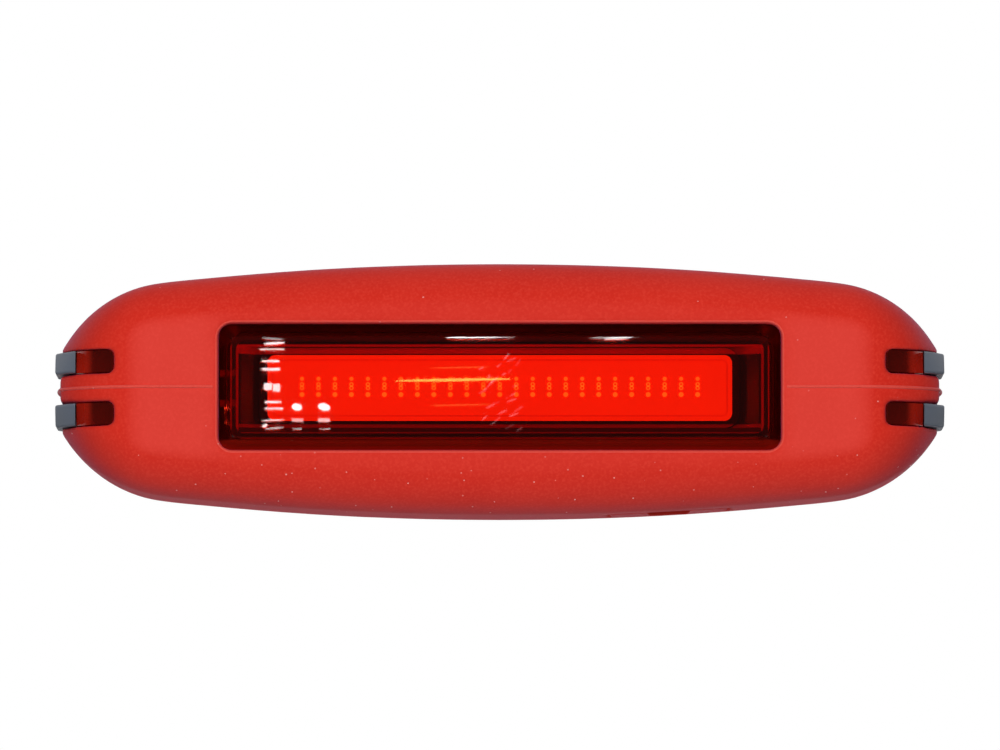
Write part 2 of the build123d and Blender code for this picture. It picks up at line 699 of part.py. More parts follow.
def usb_socket():
    top = -half_height(PORT_X, CAVITY_INSET) - SOCKET_REACH
    shell = block(
        (PORT_X - SOCKET_WIDTH / 2, PORT_X + SOCKET_WIDTH / 2),
        (MAIN_Y - SOCKET_HEIGHT, MAIN_Y),
        (top, top + SOCKET_LENGTH),
    )
    shell = chamfer(shell.edges().filter_by(Axis.Z).group_by(Axis.Y)[0], SOCKET_HEIGHT / 4)
    inside = (SOCKET_WIDTH - 2 * SOCKET_WALL, SOCKET_HEIGHT - 2 * SOCKET_WALL, SOCKET_CORNER)
    mouth = port_prism(*inside, top - THROUGH, top + SOCKET_LENGTH - SOCKET_WALL)
    tongue = block(
        (PORT_X - SOCKET_WIDTH / 4, PORT_X + SOCKET_WIDTH / 4),
        (PORT_Y - SOCKET_TONGUE / 2, PORT_Y + SOCKET_TONGUE / 2),
        (top + SOCKET_TONGUE, top + SOCKET_LENGTH),
    )
    return shell - mouth + tongue


def usb_flap():
    """Flap that fills its opening in the jacket, with a plug for the port and a lip to lift it by."""
    width = FLAP_WIDTH - 2 * FLAP_GAP
    height = FLAP_HEIGHT - 2 * FLAP_GAP
    floor = port_floor()
    flap = port_prism(width, height, FLAP_CORNER - FLAP_GAP, -HEIGHT, floor + FLAP_THICKNESS) & pillow(0)
    plug_top = floor + JACKET_WALL + FLAP_PLUG_DEPTH
    flap += port_prism(FLAP_PLUG_WIDTH, FLAP_PLUG_HEIGHT, PORT_CORNER, floor + FLAP_THICKNESS / 2, plug_top)
    front = PORT_Y - height / 2
    lip = block(
        (PORT_X - FLAP_LIP_WIDTH / 2, PORT_X + FLAP_LIP_WIDTH / 2),
        (front, front + FLAP_LIP_DEPTH),
        (-HEIGHT, floor + FLAP_THICKNESS / 2),
    )
    return flap + (lip & pillow(-FLAP_LIP))


def power_button():
    rear = BACK_Y + BUTTON_STAND
    flange = INNER_BACK_Y - BUTTON_SEAL_THICKNESS
    cap = rod(BUTTON_X, 0, BUTTON_RADIUS, flange, rear)
    cap = fillet(cap.edges().group_by(Axis.Y)[-1], BUTTON_EDGE)
    dish = BUTTON_RADIUS - BUTTON_RIM
    ball = (dish**2 + BUTTON_DISH**2) / (2 * BUTTON_DISH)
    cap -= Pos(BUTTON_X, rear - BUTTON_DISH + ball, 0) * Sphere(ball)
    cap += rod(BUTTON_X, 0, FLANGE_RADIUS, flange - FLANGE_THICKNESS, flange)
    tip = MAIN_BACK_Y + SWITCH_THICKNESS + PLUNGER_STAND
    return cap + rod(BUTTON_X, 0, BUTTON_STEM_RADIUS, tip, flange)


def button_seal():
    ring = Pos(BUTTON_X, 0) * (Circle(FLANGE_RADIUS) - Circle(BUTTON_RADIUS + SEAT_GAP))
    return slab(ring, INNER_BACK_Y - BUTTON_SEAL_THICKNESS, INNER_BACK_Y - RUNNING_GAP)


def tact_switch():
    top = MAIN_BACK_Y + SWITCH_THICKNESS
    shape = RectangleRounded(SWITCH_SIZE, SWITCH_SIZE, SWITCH_CORNER)
    body = slab(Pos(BUTTON_X, 0) * shape, MAIN_BACK_Y, top)
    depth = PLUNGER_ROOT + PLUNGER_TRAVEL + SEAT_GAP
    return body - rod(BUTTON_X, 0, PLUNGER_RADIUS + RUNNING_GAP, top - depth, top)


def switch_plunger():
    top = MAIN_BACK_Y + SWITCH_THICKNESS
    return rod(BUTTON_X, 0, PLUNGER_RADIUS, top - PLUNGER_ROOT, top + PLUNGER_STAND)


def saddle_pad():
    half = CLAMP_HEIGHT / 2
    ring = Circle(POST_RADIUS + PAD_THICKNESS) - Circle(POST_RADIUS)
    low = -POST_RADIUS - 2 * PAD_THICKNESS
    kept = Pos(0, low / 2) * Rectangle(PAD_WIDTH, -low)
    return plan(ring & kept, -half, half)


def strap_route():
    """Middle line of the strap: up from its pin, round the post, down past the hook and out to the tab."""
    turn_y = TAB_Y + STRAP_BEND
    turn_x = STRAP_CENTRE + STRAP_BEND
    up = Line((-STRAP_CENTRE, PIN_Y), (-STRAP_CENTRE, 0))
    over = ThreePointArc((-STRAP_CENTRE, 0), (0, STRAP_CENTRE), (STRAP_CENTRE, 0))
    down = Line((STRAP_CENTRE, 0), (STRAP_CENTRE, turn_y))
    out = JernArc((STRAP_CENTRE, turn_y), (0, -1), STRAP_BEND, 90)
    tab = Line((turn_x, TAB_Y), (turn_x + STRAP_TAB_LENGTH, TAB_Y))
    return Wire([up.edge(), over.edge(), down.edge(), out.edge(), tab.edge()])


def grip_ribs():
    """Ribs across the back of the strap's tab, for the fingers."""
    last = STRAP_CENTRE + STRAP_BEND + STRAP_TAB_LENGTH - GRIP_PITCH
    ribs = Part()
    for place in range(GRIP_RIBS):
        centre = Pos(last - place * GRIP_PITCH, TAB_Y + STRAP_THICKNESS / 2)
        ribs += plan(centre * Circle(GRIP_RADIUS), -GRIP_LENGTH / 2, GRIP_LENGTH / 2)
    return ribs


def mounting_strap():
    half = CLAMP_HEIGHT / 2
    knuckle = KNUCKLE_HEIGHT / 2
    strap = plan(trace(strap_route(), STRAP_THICKNESS), -half, half)
    tip = strap.faces().sort_by(Axis.X)[-1]
    strap = fillet(tip.edges().filter_by(Axis.Y), STRAP_TAB_CORNER)
    strap += grip_ribs()
    eye = Pos(-STRAP_CENTRE, PIN_Y)
    strap += plan(eye * Circle(KNUCKLE_RADIUS), -knuckle, knuckle)
    narrow = PIN_Y + KNUCKLE_RADIUS + LUG_GAP
    wide = narrow + TAPER_LENGTH
    below = PIN_Y - 2 * KNUCKLE_RADIUS
    points = [(below, knuckle), (narrow, knuckle), (wide, half), (wide, HEIGHT), (below, HEIGHT)]
    plane = Plane(origin=(-STRAP_CENTRE, 0, 0), x_dir=(0, 1, 0), z_dir=(1, 0, 0))
    waste = plane * make_face(Polyline(*points, close=True))
    corner = extrude(waste, amount=2 * STRAP_THICKNESS, both=True)
    strap -= corner
    strap -= mirror(corner, Plane.XY)
    strap -= plan(eye * Circle(PIN_RADIUS + RUNNING_GAP), -half, half)
    hole_length = HOOK_THICKNESS + 2 * HOOK_GAP
    hole_width = HOOK_WIDTH + 2 * HOOK_GAP
    for hole in range(LADDER_HOLES):
        if hole == 0:
            place = Pos(STRAP_CENTRE, HOOK_Y, 0)
        else:
            place = Rot(0, 0, (hole - 0.5) * LADDER_STEP) * Pos(STRAP_CENTRE, 0, 0)
        strap -= place * Box(3 * STRAP_THICKNESS, hole_length, hole_width)
    return strap


def strap_pin():
    half = KNUCKLE_HEIGHT / 2 + LUG_GAP + LUG_HEIGHT
    return plan(Pos(-STRAP_CENTRE, PIN_Y) * Circle(PIN_RADIUS), -half, half)


PIECES = [
    silicone_jacket,
    lens_cover,
    rear_housing,
    seal_ring,
    bezel_frame,
    cob_phosphor,
    cob_dam,
    led_dies,
    cob_board,
    thermal_tape,
    heat_plate,
    housing_screws,
    battery,
    battery_foam,
    protection_board,
    battery_leads,
    led_leads,
    main_board,
    board_screws,
    led_driver,
    inductor,
    capacitors,
    charge_led,
    indicator_window,
    usb_socket,
    usb_flap,
    power_button,
    button_seal,
    tact_switch,
    switch_plunger,
    saddle_pad,
    mounting_strap,
    strap_pin,
]

os.makedirs("parts", exist_ok=True)
for piece in PIECES:
    shape = piece()
    if isinstance(shape, list):
        shape = Compound(children=shape)
    export_step(shape, f"parts/{piece.__name__}.step")
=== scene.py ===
import logging
import math
import random
from dataclasses import dataclass, field
from enum import Enum
from functools import cache

import bmesh
import bpy
from mathutils import Matrix, Vector
from mathutils.bvhtree import BVHTree


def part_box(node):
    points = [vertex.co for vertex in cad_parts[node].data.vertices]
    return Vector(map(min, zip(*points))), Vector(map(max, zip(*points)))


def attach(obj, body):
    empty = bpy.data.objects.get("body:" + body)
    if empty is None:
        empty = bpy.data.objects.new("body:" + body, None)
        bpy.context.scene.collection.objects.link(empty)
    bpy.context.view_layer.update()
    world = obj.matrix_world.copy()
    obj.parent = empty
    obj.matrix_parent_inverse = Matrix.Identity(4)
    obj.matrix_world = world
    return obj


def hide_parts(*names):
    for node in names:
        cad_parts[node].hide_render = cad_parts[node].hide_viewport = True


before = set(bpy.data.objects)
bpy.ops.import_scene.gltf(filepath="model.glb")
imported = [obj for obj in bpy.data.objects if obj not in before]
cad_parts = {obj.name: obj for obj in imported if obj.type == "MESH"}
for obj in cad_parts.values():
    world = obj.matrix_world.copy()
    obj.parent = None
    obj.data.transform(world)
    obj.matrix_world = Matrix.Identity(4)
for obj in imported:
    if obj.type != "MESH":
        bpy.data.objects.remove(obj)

LOG = logging.getLogger("tail_light")
MM = 0.001
IMAGE_WIDTH = 1000
IMAGE_HEIGHT = 750
WHITE = "#ffffff"
# Corners closer together than this are welded before a soft piece is remeshed
WELD_MM = 0.001
# Share of the way to the middle of its neighbours that one round of smoothing moves a corner
SMOOTHING = 0.5
# Where the rays at the jacket start, in depths of the jacket
RAY_START = 4
# Radians of a wave texture in a metre, at a scale of 1
WAVE_RADIANS = 20
# Stops of a finish: pairs of a length in millimetres, rising, and the share there
Stops = tuple[tuple[float, float], ...]


class Body(Enum):
    """The bodies of the frame that pieces ride on."""

    LIGHT = "light"
    FLAP = "usb_flap"


class Slot(Enum):
    """The record's material slots, by name."""

    RED_SILICONE = "red_silicone"
    BLACK_RUBBER = "black_rubber"
    STRIP_SILICONE = "strip_silicone"


class Side(Enum):
    """The two ends of the light, as the sign of X."""

    LEFT = -1
    RIGHT = 1


class Axis(Enum):
    """The axes of the frame: along the light, from its lit front to its back, and up."""

    LONG = "X"
    DEPTH = "Y"
    UP = "Z"


def linear(colour: str) -> tuple[float, float, float, float]:
    """Turn an sRGB hex colour into a linear one.

    Args:
        colour: The colour as "#rrggbb".

    Returns:
        Linear red, green and blue, with an alpha of 1.
    """
    shares = [int(colour[at : at + 2], 16) / 255 for at in (1, 3, 5)]
    return (*(s / 12.92 if s <= 0.04045 else ((s + 0.055) / 1.055) ** 2.4 for s in shares), 1.0)


def per_metre(size_mm: float) -> float:
    """Turn the real size of a pattern's feature into a texture scale."""
    return 1 / (size_mm * MM)


def add_node(tree: bpy.types.NodeTree, kind: str, inputs: dict | None = None, **settings) -> bpy.types.Node:
    """Add a shader node with its settings, values and links.

    Args:
        tree: The node tree that gets the node.
        kind: The node's type without its "ShaderNode" prefix.
        inputs: Values, or sockets to link from, by input name or index.
        settings: Properties of the node.

    Returns:
        The new node.
    """
    node = tree.nodes.new("ShaderNode" + kind)
    for key, value in settings.items():
        setattr(node, key, value)
    for key, value in (inputs or {}).items():
        if isinstance(value, bpy.types.NodeSocket):
            tree.links.new(value, node.inputs[key])
        else:
            node.inputs[key].default_value = value
    return node


def share_along(
    tree: bpy.types.NodeTree,
    place: bpy.types.NodeSocket,
    axis: Axis,
    stops: Stops,
    both_ways: bool = False,
) -> bpy.types.NodeSocket:
    """Give a surface a share that changes along an axis, by straight steps between stops.

    Args:
        tree: The node tree that gets the nodes.
        place: Where a point of the surface is.
        axis: The axis that the share changes along.
        stops: The shares, by place on that axis.
        both_ways: Whether the stops run both ways from the light's middle.

    Returns:
        The socket with the share.
    """
    length = add_node(tree, "SeparateXYZ", {0: place}).outputs[axis.value]
    if both_ways:
        length = add_node(tree, "Math", {0: length}, operation="ABSOLUTE").outputs[0]
    first, last = stops[0][0], stops[-1][0]
    span = {"Value": length, "From Min": first * MM, "From Max": last * MM}
    node = add_node(tree, "ValToRGB", {"Fac": add_node(tree, "MapRange", span).outputs["Result"]})
    elements = node.color_ramp.elements
    for stop, _ in stops[1:-1]:
        elements.new((stop - first) / (last - first))
    for element, (_, share) in zip(elements, stops):
        element.color = (share, share, share, 1.0)
    return node.outputs["Color"]


@dataclass(frozen=True)
class Finish:
    """A moulded or made surface: one colour that drifts a little, under a fine grain.

    Attributes:
        name: What the material is and how it was made.
        colour: The main colour.
        shade: The colour that it drifts to in soft patches.
        roughness: Roughness of the surface.
        ior: Index of refraction, left alone on a metal.
        metallic: 1 for a bare metal.
        patch_mm: Size of the soft patches.
        patch_detail: How uneven the patches' edges are.
        grain_mm: Size of one grain.
        grain_depth_mm: Height of the grain.
        grain_spread: How far the grain takes the roughness up and down, as a share of it.
        stretch: How much longer the grain is along X than across it.
    """

    name: str
    colour: str
    shade: str
    roughness: float
    ior: float = 1.5
    metallic: float = 0.0
    patch_mm: float = 6.0
    patch_detail: float = 3.0
    grain_mm: float = 0.2
    grain_depth_mm: float = 0.01
    grain_spread: float = 0.15
    stretch: float = 1.0

    def dress(self, tree: bpy.types.NodeTree, shader: bpy.types.Node, place: bpy.types.NodeSocket) -> None:
        """Add what this finish has beside colour and grain: nothing here."""

    def pattern(self, tree: bpy.types.NodeTree, place: bpy.types.NodeSocket) -> bpy.types.NodeSocket:
        """Add the colour over the surface, here soft patches of two shades.

        Args:
            tree: The material's node tree.
            place: Where a point of the surface is.

        Returns:
            The socket with the colour.
        """
        size = {"Scale": per_metre(self.patch_mm), "Detail": self.patch_detail}
        patches = add_node(tree, "TexNoise", {"Vector": place, **size}).outputs["Fac"]
        colours = {"Factor": patches, 6: linear(self.colour), 7: linear(self.shade)}
        return add_node(tree, "Mix", colours, data_type="RGBA").outputs[2]

    def build(self) -> bpy.types.Material:
        """Make the material.

        Returns:
            The material with its colour, roughness and bump nodes.
        """
        material = bpy.data.materials.new(self.name)
        material.use_nodes = True
        tree = material.node_tree
        shader = tree.nodes["Principled BSDF"]
        place = add_node(tree, "TexCoord").outputs["Object"]
        tree.links.new(self.pattern(tree, place), shader.inputs["Base Color"])
        shader.inputs["Metallic"].default_value = self.metallic
        if not self.metallic:
            shader.inputs["IOR"].default_value = self.ior
        longer = {"Vector": place, "Scale": (1 / self.stretch, 1.0, 1.0)}
        lay = add_node(tree, "Mapping", longer).outputs["Vector"]
        size = {"Scale": per_metre(self.grain_mm), "Detail": 2.0}
        grain = add_node(tree, "TexNoise", {"Vector": lay, **size}).outputs["Fac"]
        low = (1 - self.grain_spread) * self.roughness
        high = min(1.0, (1 + self.grain_spread) * self.roughness)
        rough = add_node(tree, "MapRange", {"Value": grain, "To Min": low, "To Max": high})
        tree.links.new(rough.outputs["Result"], shader.inputs["Roughness"])
        bump = add_node(tree, "Bump", {"Height": grain, "Distance": self.grain_depth_mm * MM})
        tree.links.new(bump.outputs["Normal"], shader.inputs["Normal"])
        self.dress(tree, shader, place)
        return material


@dataclass(frozen=True)
class SiliconeFinish(Finish):
    """Moulded silicone rubber, which holds dust and looks bluish at a flat angle.

    Attributes:
        dust: Colour of the dust specks.
        dust_spacing_mm: Distance between places where a speck may lie.
        dust_mm: Radius of a speck.
        dust_levels: Heights and the share of those places that hold one there.
        dust_fade: How many of the specks are faint: more the higher it is.
        mottle: Colour of the fine mottling.
        mottle_mm: Size of that mottling.
        mottle_span: Where in its noise the mottling starts, and where it is full.
        flat: Colour of the flat front under a painted sheen, which pales it.
        painted_sheen_levels: Places along Y and the share of that colour there.
        painted_sheen_reach: Distances from the middle along X and how much of it is left there.
        bloom: Colour of the sheen at the outline.
        bloom_weight: Strength of that sheen.
        bloom_roughness: How far that sheen spreads in from the outline.
        gloss: Strength of the plain gloss.
    """

    dust: str = "#f6d0cc"
    dust_spacing_mm: float = 1.1
    dust_mm: float = 0.085
    dust_levels: Stops = ((-12.0, 0.95), (3.0, 0.11875))
    dust_fade: float = 1.4
    mottle: str = "#e04234"
    mottle_mm: float = 0.28
    mottle_span: tuple[float, float] = (0.45, 0.85)
    flat: str = "#e94c42"
    painted_sheen_levels: Stops = ((-36.2, 0.0), (0.0, 0.0))
    painted_sheen_reach: Stops = ((20.0, 0.3), (26.0, 0.3), (30.0, 1.0), (40.0, 1.0))
    bloom: str = "#8a7ed8"
    bloom_weight: float = 0.16
    bloom_roughness: float = 0.4
    gloss: float = 0.35

    def pattern(self, tree: bpy.types.NodeTree, place: bpy.types.NodeSocket) -> bpy.types.NodeSocket:
        """Add the rubber's mottled colour, the painted sheen that pales its flat front, and the dust on it.

        Args:
            tree: The material's node tree.
            place: Where a point of the surface is.

        Returns:
            The socket with the colour.
        """
        size = {"Scale": per_metre(self.mottle_mm), "Detail": 4.0}
        fine = add_node(tree, "TexNoise", {"Vector": place, **size}).outputs["Fac"]
        span = {"From Min": self.mottle_span[0], "From Max": self.mottle_span[1]}
        share = add_node(tree, "MapRange", {"Value": fine, **span}).outputs["Result"]
        colours = {"Factor": share, 6: super().pattern(tree, place), 7: linear(self.mottle)}
        mottled = add_node(tree, "Mix", colours, data_type="RGBA").outputs[2]
        # Painted sheen: the flat front is paled by place, standing in for the front lamp's sheen
        level = share_along(tree, place, Axis.DEPTH, self.painted_sheen_levels)
        reach = share_along(tree, place, Axis.LONG, self.painted_sheen_reach, both_ways=True)
        flat = add_node(tree, "Math", {0: level, 1: reach}, operation="MULTIPLY").outputs[0]
        colours = {"Factor": flat, 6: mottled, 7: linear(self.flat)}
        rubber = add_node(tree, "Mix", colours, data_type="RGBA").outputs[2]
        colours = {"Factor": self.specks(tree, place), 6: rubber, 7: linear(self.dust)}
        return add_node(tree, "Mix", colours, data_type="RGBA").outputs[2]

    def specks(self, tree: bpy.types.NodeTree, place: bpy.types.NodeSocket) -> bpy.types.NodeSocket:
        """Scatter the dust: fewer specks higher up, and some fainter than others.

        Args:
            tree: The material's node tree.
            place: Where a point of the surface is.

        Returns:
            The socket with the share of dust.
        """
        cells = add_node(tree, "TexVoronoi", {"Vector": place, "Scale": per_metre(self.dust_spacing_mm)})
        radius = self.dust_mm / self.dust_spacing_mm
        near = {0: cells.outputs["Distance"], 1: radius}
        dot = add_node(tree, "Math", near, operation="LESS_THAN").outputs[0]
        picked = add_node(tree, "SeparateColor", {"Color": cells.outputs["Color"]}).outputs
        share = share_along(tree, place, Axis.UP, self.dust_levels)
        kept = add_node(tree, "Math", {0: picked["Red"], 1: share}, operation="LESS_THAN").outputs[0]
        there = add_node(tree, "Math", {0: dot, 1: kept}, operation="MULTIPLY").outputs[0]
        fading = {0: picked["Green"], 1: self.dust_fade}
        faint = add_node(tree, "Math", fading, operation="POWER").outputs[0]
        return add_node(tree, "Math", {0: there, 1: faint}, operation="MULTIPLY").outputs[0]

    def dress(self, tree: bpy.types.NodeTree, shader: bpy.types.Node, place: bpy.types.NodeSocket) -> None:
        """Add the sheen that pales the rubber at its outline.

        Args:
            tree: The material's node tree, not used here.
            shader: Its shader.
            place: Where a point of the surface is, not used here.
        """
        shader.inputs["Sheen Weight"].default_value = self.bloom_weight
        shader.inputs["Sheen Roughness"].default_value = self.bloom_roughness
        shader.inputs["Sheen Tint"].default_value = linear(self.bloom)
        shader.inputs["Specular IOR Level"].default_value = self.gloss


@dataclass(frozen=True)
class ClearFinish(Finish):
    """Polished clear or tinted plastic that light passes through.

    Attributes:
        tint: Colour of the light that comes through.
    """

    patch_detail: float = 1.0
    tint: str = WHITE

    def dress(self, tree: bpy.types.NodeTree, shader: bpy.types.Node, place: bpy.types.NodeSocket) -> None:
        """Let light through, and let it fall on what lies behind.

        Args:
            tree: The material's node tree.
            shader: Its shader.
            place: Where a point of the surface is, not used here.
        """
        shader.inputs["Transmission Weight"].default_value = 1.0
        through = add_node(tree, "BsdfTransparent", {"Color": linear(self.tint)}).outputs[0]
        shadow = add_node(tree, "LightPath").outputs["Is Shadow Ray"]
        mixed = add_node(tree, "MixShader", {0: shadow, 1: shader.outputs[0], 2: through})
        tree.links.new(mixed.outputs[0], tree.nodes["Material Output"].inputs["Surface"])


@dataclass(frozen=True)
class LensFinish(ClearFinish):
    """Tinted plastic that turns cloudy where it is thin and something pale lies close behind.

    Attributes:
        clear: Distances from the middle along X and the share of light that passes there.
        levels: Heights and the share of that which still passes there.
    """

    clear: Stops = (
        (0.0, 0.996),
        (26.0, 0.994),
        (28.2, 0.985),
        (38.5, 0.95),
        (40.7, 0.93),
        (41.3, 0.66),
        (42.6, 0.6),
    )
    levels: Stops = ((-6.0, 0.82), (-5.4, 0.84), (-5.2, 1.0), (6.0, 1.0))

    def dress(self, tree: bpy.types.NodeTree, shader: bpy.types.Node, place: bpy.types.NodeSocket) -> None:
        """Let less light through towards the ends and along the lower edge.

        Args:
            tree: The material's node tree.
            shader: Its shader.
            place: Where a point of the surface is.
        """
        super().dress(tree, shader, place)
        reach = share_along(tree, place, Axis.LONG, self.clear, both_ways=True)
        level = share_along(tree, place, Axis.UP, self.levels)
        share = add_node(tree, "Math", {0: reach, 1: level}, operation="MULTIPLY").outputs[0]
        tree.links.new(share, shader.inputs["Transmission Weight"])


@dataclass(frozen=True)
class PaintedLightBandFinish(Finish):
    """Dark moulding with the strip's light painted along its long edges as narrow bands.

    Attributes:
        band: Colour of the painted bands of light.
        levels: Heights and the share of that colour there.
        ends: Distances from the middle along X and the share there.
    """

    band: str = "#ff5a44"
    levels: Stops = (
        (-4.8, 0.55),
        (-4.55, 0.55),
        (-4.45, 0.06),
        (-4.05, 0.1),
        (-3.95, 0.6),
        (-3.7, 0.5),
        (-3.62, 0.02),
        (3.35, 0.02),
        (3.45, 0.75),
        (3.95, 0.85),
        (4.02, 1.0),
        (4.25, 0.9),
        (4.35, 0.0),
        (4.8, 0.0),
    )
    ends: Stops = ((20.0, 0.0), (26.1, 0.03), (26.2, 0.8), (27.0, 0.8))

    def pattern(self, tree: bpy.types.NodeTree, place: bpy.types.NodeSocket) -> bpy.types.NodeSocket:
        """Add the moulding's colour with the painted bands of light in it.

        Args:
            tree: The material's node tree.
            place: Where a point of the surface is.

        Returns:
            The socket with the colour.
        """
        # Painted light: bands of the strip's light along the long edges and at the ends
        long = share_along(tree, place, Axis.UP, self.levels)
        short = share_along(tree, place, Axis.LONG, self.ends, both_ways=True)
        share = add_node(tree, "Math", {0: long, 1: short}, operation="MAXIMUM").outputs[0]
        colours = {"Factor": share, 6: super().pattern(tree, place), 7: linear(self.band)}
        return add_node(tree, "Mix", colours, data_type="RGBA").outputs[2]


@dataclass(frozen=True)
class PaperFinish(Finish):
    """Matt paper that is seen from above only, so that the light can be looked at from below too.

    Attributes:
        pale: How much brighter it is to the eye than the lamps alone make it.
    """

    pale: float = 0.5

    def dress(self, tree: bpy.types.NodeTree, shader: bpy.types.Node, place: bpy.types.NodeSocket) -> None:
        """Leave the underside open, and pale the paper to the eye.

        Args:
            tree: The material's node tree.
            shader: Its shader.
            place: Where a point of the surface is, not used here.
        """
        seen = add_node(tree, "LightPath").outputs["Is Camera Ray"]
        paler = add_node(tree, "Math", {0: seen, 1: self.pale}, operation="MULTIPLY").outputs[0]
        tree.links.new(paler, shader.inputs["Emission Strength"])
        shader.inputs["Emission Color"].default_value = linear(WHITE)
        back = add_node(tree, "NewGeometry").outputs["Backfacing"]
        through = add_node(tree, "BsdfTransparent").outputs[0]
        mixed = add_node(tree, "MixShader", {0: back, 1: shader.outputs[0], 2: through})
        tree.links.new(mixed.outputs[0], tree.nodes["Material Output"].inputs["Surface"])


@dataclass(frozen=True)
class PaintedGlowFinish(Finish):
    """A surface that looks lit by a painted glow: it gives off a little light of its own.

    Attributes:
        glow: Colour of that light.
        strength: Strength of that light.
    """

    glow: str = WHITE
    strength: float = 1.0

    def dress(self, tree: bpy.types.NodeTree, shader: bpy.types.Node, place: bpy.types.NodeSocket) -> None:
        """Add the painted glow."""
        # Painted glow: emission that makes the surface look lit
        shader.inputs["Emission Color"].default_value = linear(self.glow)
        shader.inputs["Emission Strength"].default_value = self.strength


@dataclass(frozen=True)
class BoardFinish(Finish):
    """Glass-epoxy circuit board with copper tracks under a coat of lacquer.

    Attributes:
        track: Colour of the lacquer over copper.
        track_mm: Length of one radian of the wave that the tracks are the crests of.
        track_level: Height in that wave, from 0 to 1, where a track starts.
    """

    track: str = "#2f7d4a"
    track_mm: float = 0.5
    track_level: float = 0.7

    def pattern(self, tree: bpy.types.NodeTree, place: bpy.types.NodeSocket) -> bpy.types.NodeSocket:
        """Add the lacquer's colour with brighter tracks in it.

        Args:
            tree: The material's node tree.
            place: Where a point of the surface is.

        Returns:
            The socket with the colour.
        """
        size = {"Scale": per_metre(self.track_mm) / WAVE_RADIANS, "Distortion": 6.0, "Detail": 1.0}
        waves = add_node(tree, "TexWave", {"Vector": place, **size}).outputs["Fac"]
        edge = add_node(tree, "Math", {0: waves, 1: self.track_level}, operation="GREATER_THAN").outputs[0]
        colours = {"Factor": edge, 6: super().pattern(tree, place), 7: linear(self.track)}
        return add_node(tree, "Mix", colours, data_type="RGBA").outputs[2]


# Silicone rubber, compression moulded: matt, warm red, with a faint grain and dust in it
# Its flat front is paler: a painted sheen
RED_SILICONE = SiliconeFinish(
    "red_moulded_silicone",
    "#db3223",
    "#d02619",
    0.62,
    1.41,
    grain_mm=0.16,
    mottle="#e03d2f",
    painted_sheen_levels=((-36.2, 0.65), (-35.98, 0.65), (-35.86, 0.0), (0.0, 0.0)),
)
# The same rubber in the seam and the window's bead, where it is thin: paler, as a painted highlight
PAINTED_HIGHLIGHT_SILICONE = SiliconeFinish("red_moulded_silicone_painted_highlight", "#ea574c", "#e24c40", 0.5, 1.41, grain_mm=0.16)
# Rubber of the strap, the pad, the seals and the button, moulded: near black with a soft sheen
BLACK_RUBBER = SiliconeFinish(
    "black_moulded_rubber",
    "#1d1e20",
    "#26272a",
    0.55,
    1.5,
    dust="#77777c",
    dust_levels=((-12.0, 0.08), (3.0, 0.01)),
    mottle="#303135",
    bloom_weight=0.1,
)
# Polycarbonate, injection moulded and polished: clear and glossy, deep red in the thick
RED_POLYCARBONATE = LensFinish(
    "red_polished_polycarbonate", "#f4321a", "#ee2c16", 0.01, 1.58, grain_depth_mm=0.0, tint="#c8402f"
)
# Clear polycarbonate plug over the charge lamp: glassy, a little milky
CLEAR_POLYCARBONATE = ClearFinish(
    "clear_moulded_polycarbonate", "#f4f4f4", "#e9ecee", 0.08, 1.58, grain_depth_mm=0.0, tint="#f0f0f0"
)
# ABS with a spark-eroded texture: matt blue-grey with a fine pebble
GREY_ABS = Finish("grey_textured_abs", "#67707f", "#5c6574", 0.5, 1.54, grain_mm=0.12, grain_depth_mm=0.02)
# Polycarbonate frame, moulded smooth: near black, with the strip's light painted along its edges
BLACK_BEZEL = PaintedLightBandFinish("black_smooth_polycarbonate_painted_light", "#070405", "#0a0506", 0.25, 1.58, grain_depth_mm=0.0)
# Phosphor in silicone, poured into its dam: yellow-orange and even, with a painted glow as though lit
PHOSPHOR = PaintedGlowFinish(
    "yellow_phosphor_painted_glow", "#f7a21c", "#f29a18", 0.35, 1.42, grain_mm=0.3, glow="#ffa628", strength=0.8
)
# The same silicone where it thins out along the dam: a shade darker, with a weaker painted glow
PHOSPHOR_EDGE = PaintedGlowFinish(
    "thin_yellow_phosphor_painted_glow",
    "#ea8a1c",
    "#e4841a",
    0.35,
    1.42,
    grain_mm=0.3,
    glow="#ff981f",
    strength=0.5,
)
# Pale yellow marks over each chip with a strong painted glow, so that they show through the red lens
CHIP_MARK_GLOW = PaintedGlowFinish("pale_chip_marks_painted_glow", "#ffc890", "#ffbe80", 0.4, 1.42, glow="#ffd85c", strength=5.0)
# Dark silicone bead, dispensed by a needle: soft gloss, with the strip's light painted along it
DARK_DAM = PaintedLightBandFinish("dark_dispensed_silicone_painted_light", "#120405", "#180607", 0.4, 1.41, grain_mm=0.4)
# Blue-grey sapphire chips under the phosphor: glassy
CHIPS = Finish("sapphire_chips", "#8d99a8", "#7c8796", 0.15, 1.77)
# Aluminium board under black lacquer: dark and slightly glossy
BLACK_LACQUER = Finish(
    "black_lacquered_aluminium_board", "#120c0c", "#1a1112", 0.35, 1.5, grain_depth_mm=0.004
)
# Rolled aluminium sheet, brushed along its length: bright with long fine scratches
BRUSHED_ALUMINIUM = Finish(
    "brushed_aluminium_sheet", "#d6d8da", "#c3c6c9", 0.3, metallic=1.0, stretch=25.0, grain_mm=0.1
)
# Filled acrylic tape, calendered: chalky pale grey
THERMAL_TAPE = Finish("grey_filled_acrylic_tape", "#b9bcc0", "#aeb1b5", 0.8, 1.49)
# Stainless steel, cold headed: bright grey with turning marks
STEEL = Finish("cold_headed_stainless_steel", "#b4b6b9", "#9ea1a5", 0.28, metallic=1.0, grain_mm=0.08)
# Laminated aluminium foil, heat sealed: silvery with soft creases
POUCH_FOIL = Finish(
    "heat_sealed_aluminium_foil",
    "#c9cbcd",
    "#b7babd",
    0.35,
    metallic=1.0,
    grain_mm=1.5,
    grain_depth_mm=0.05,
)
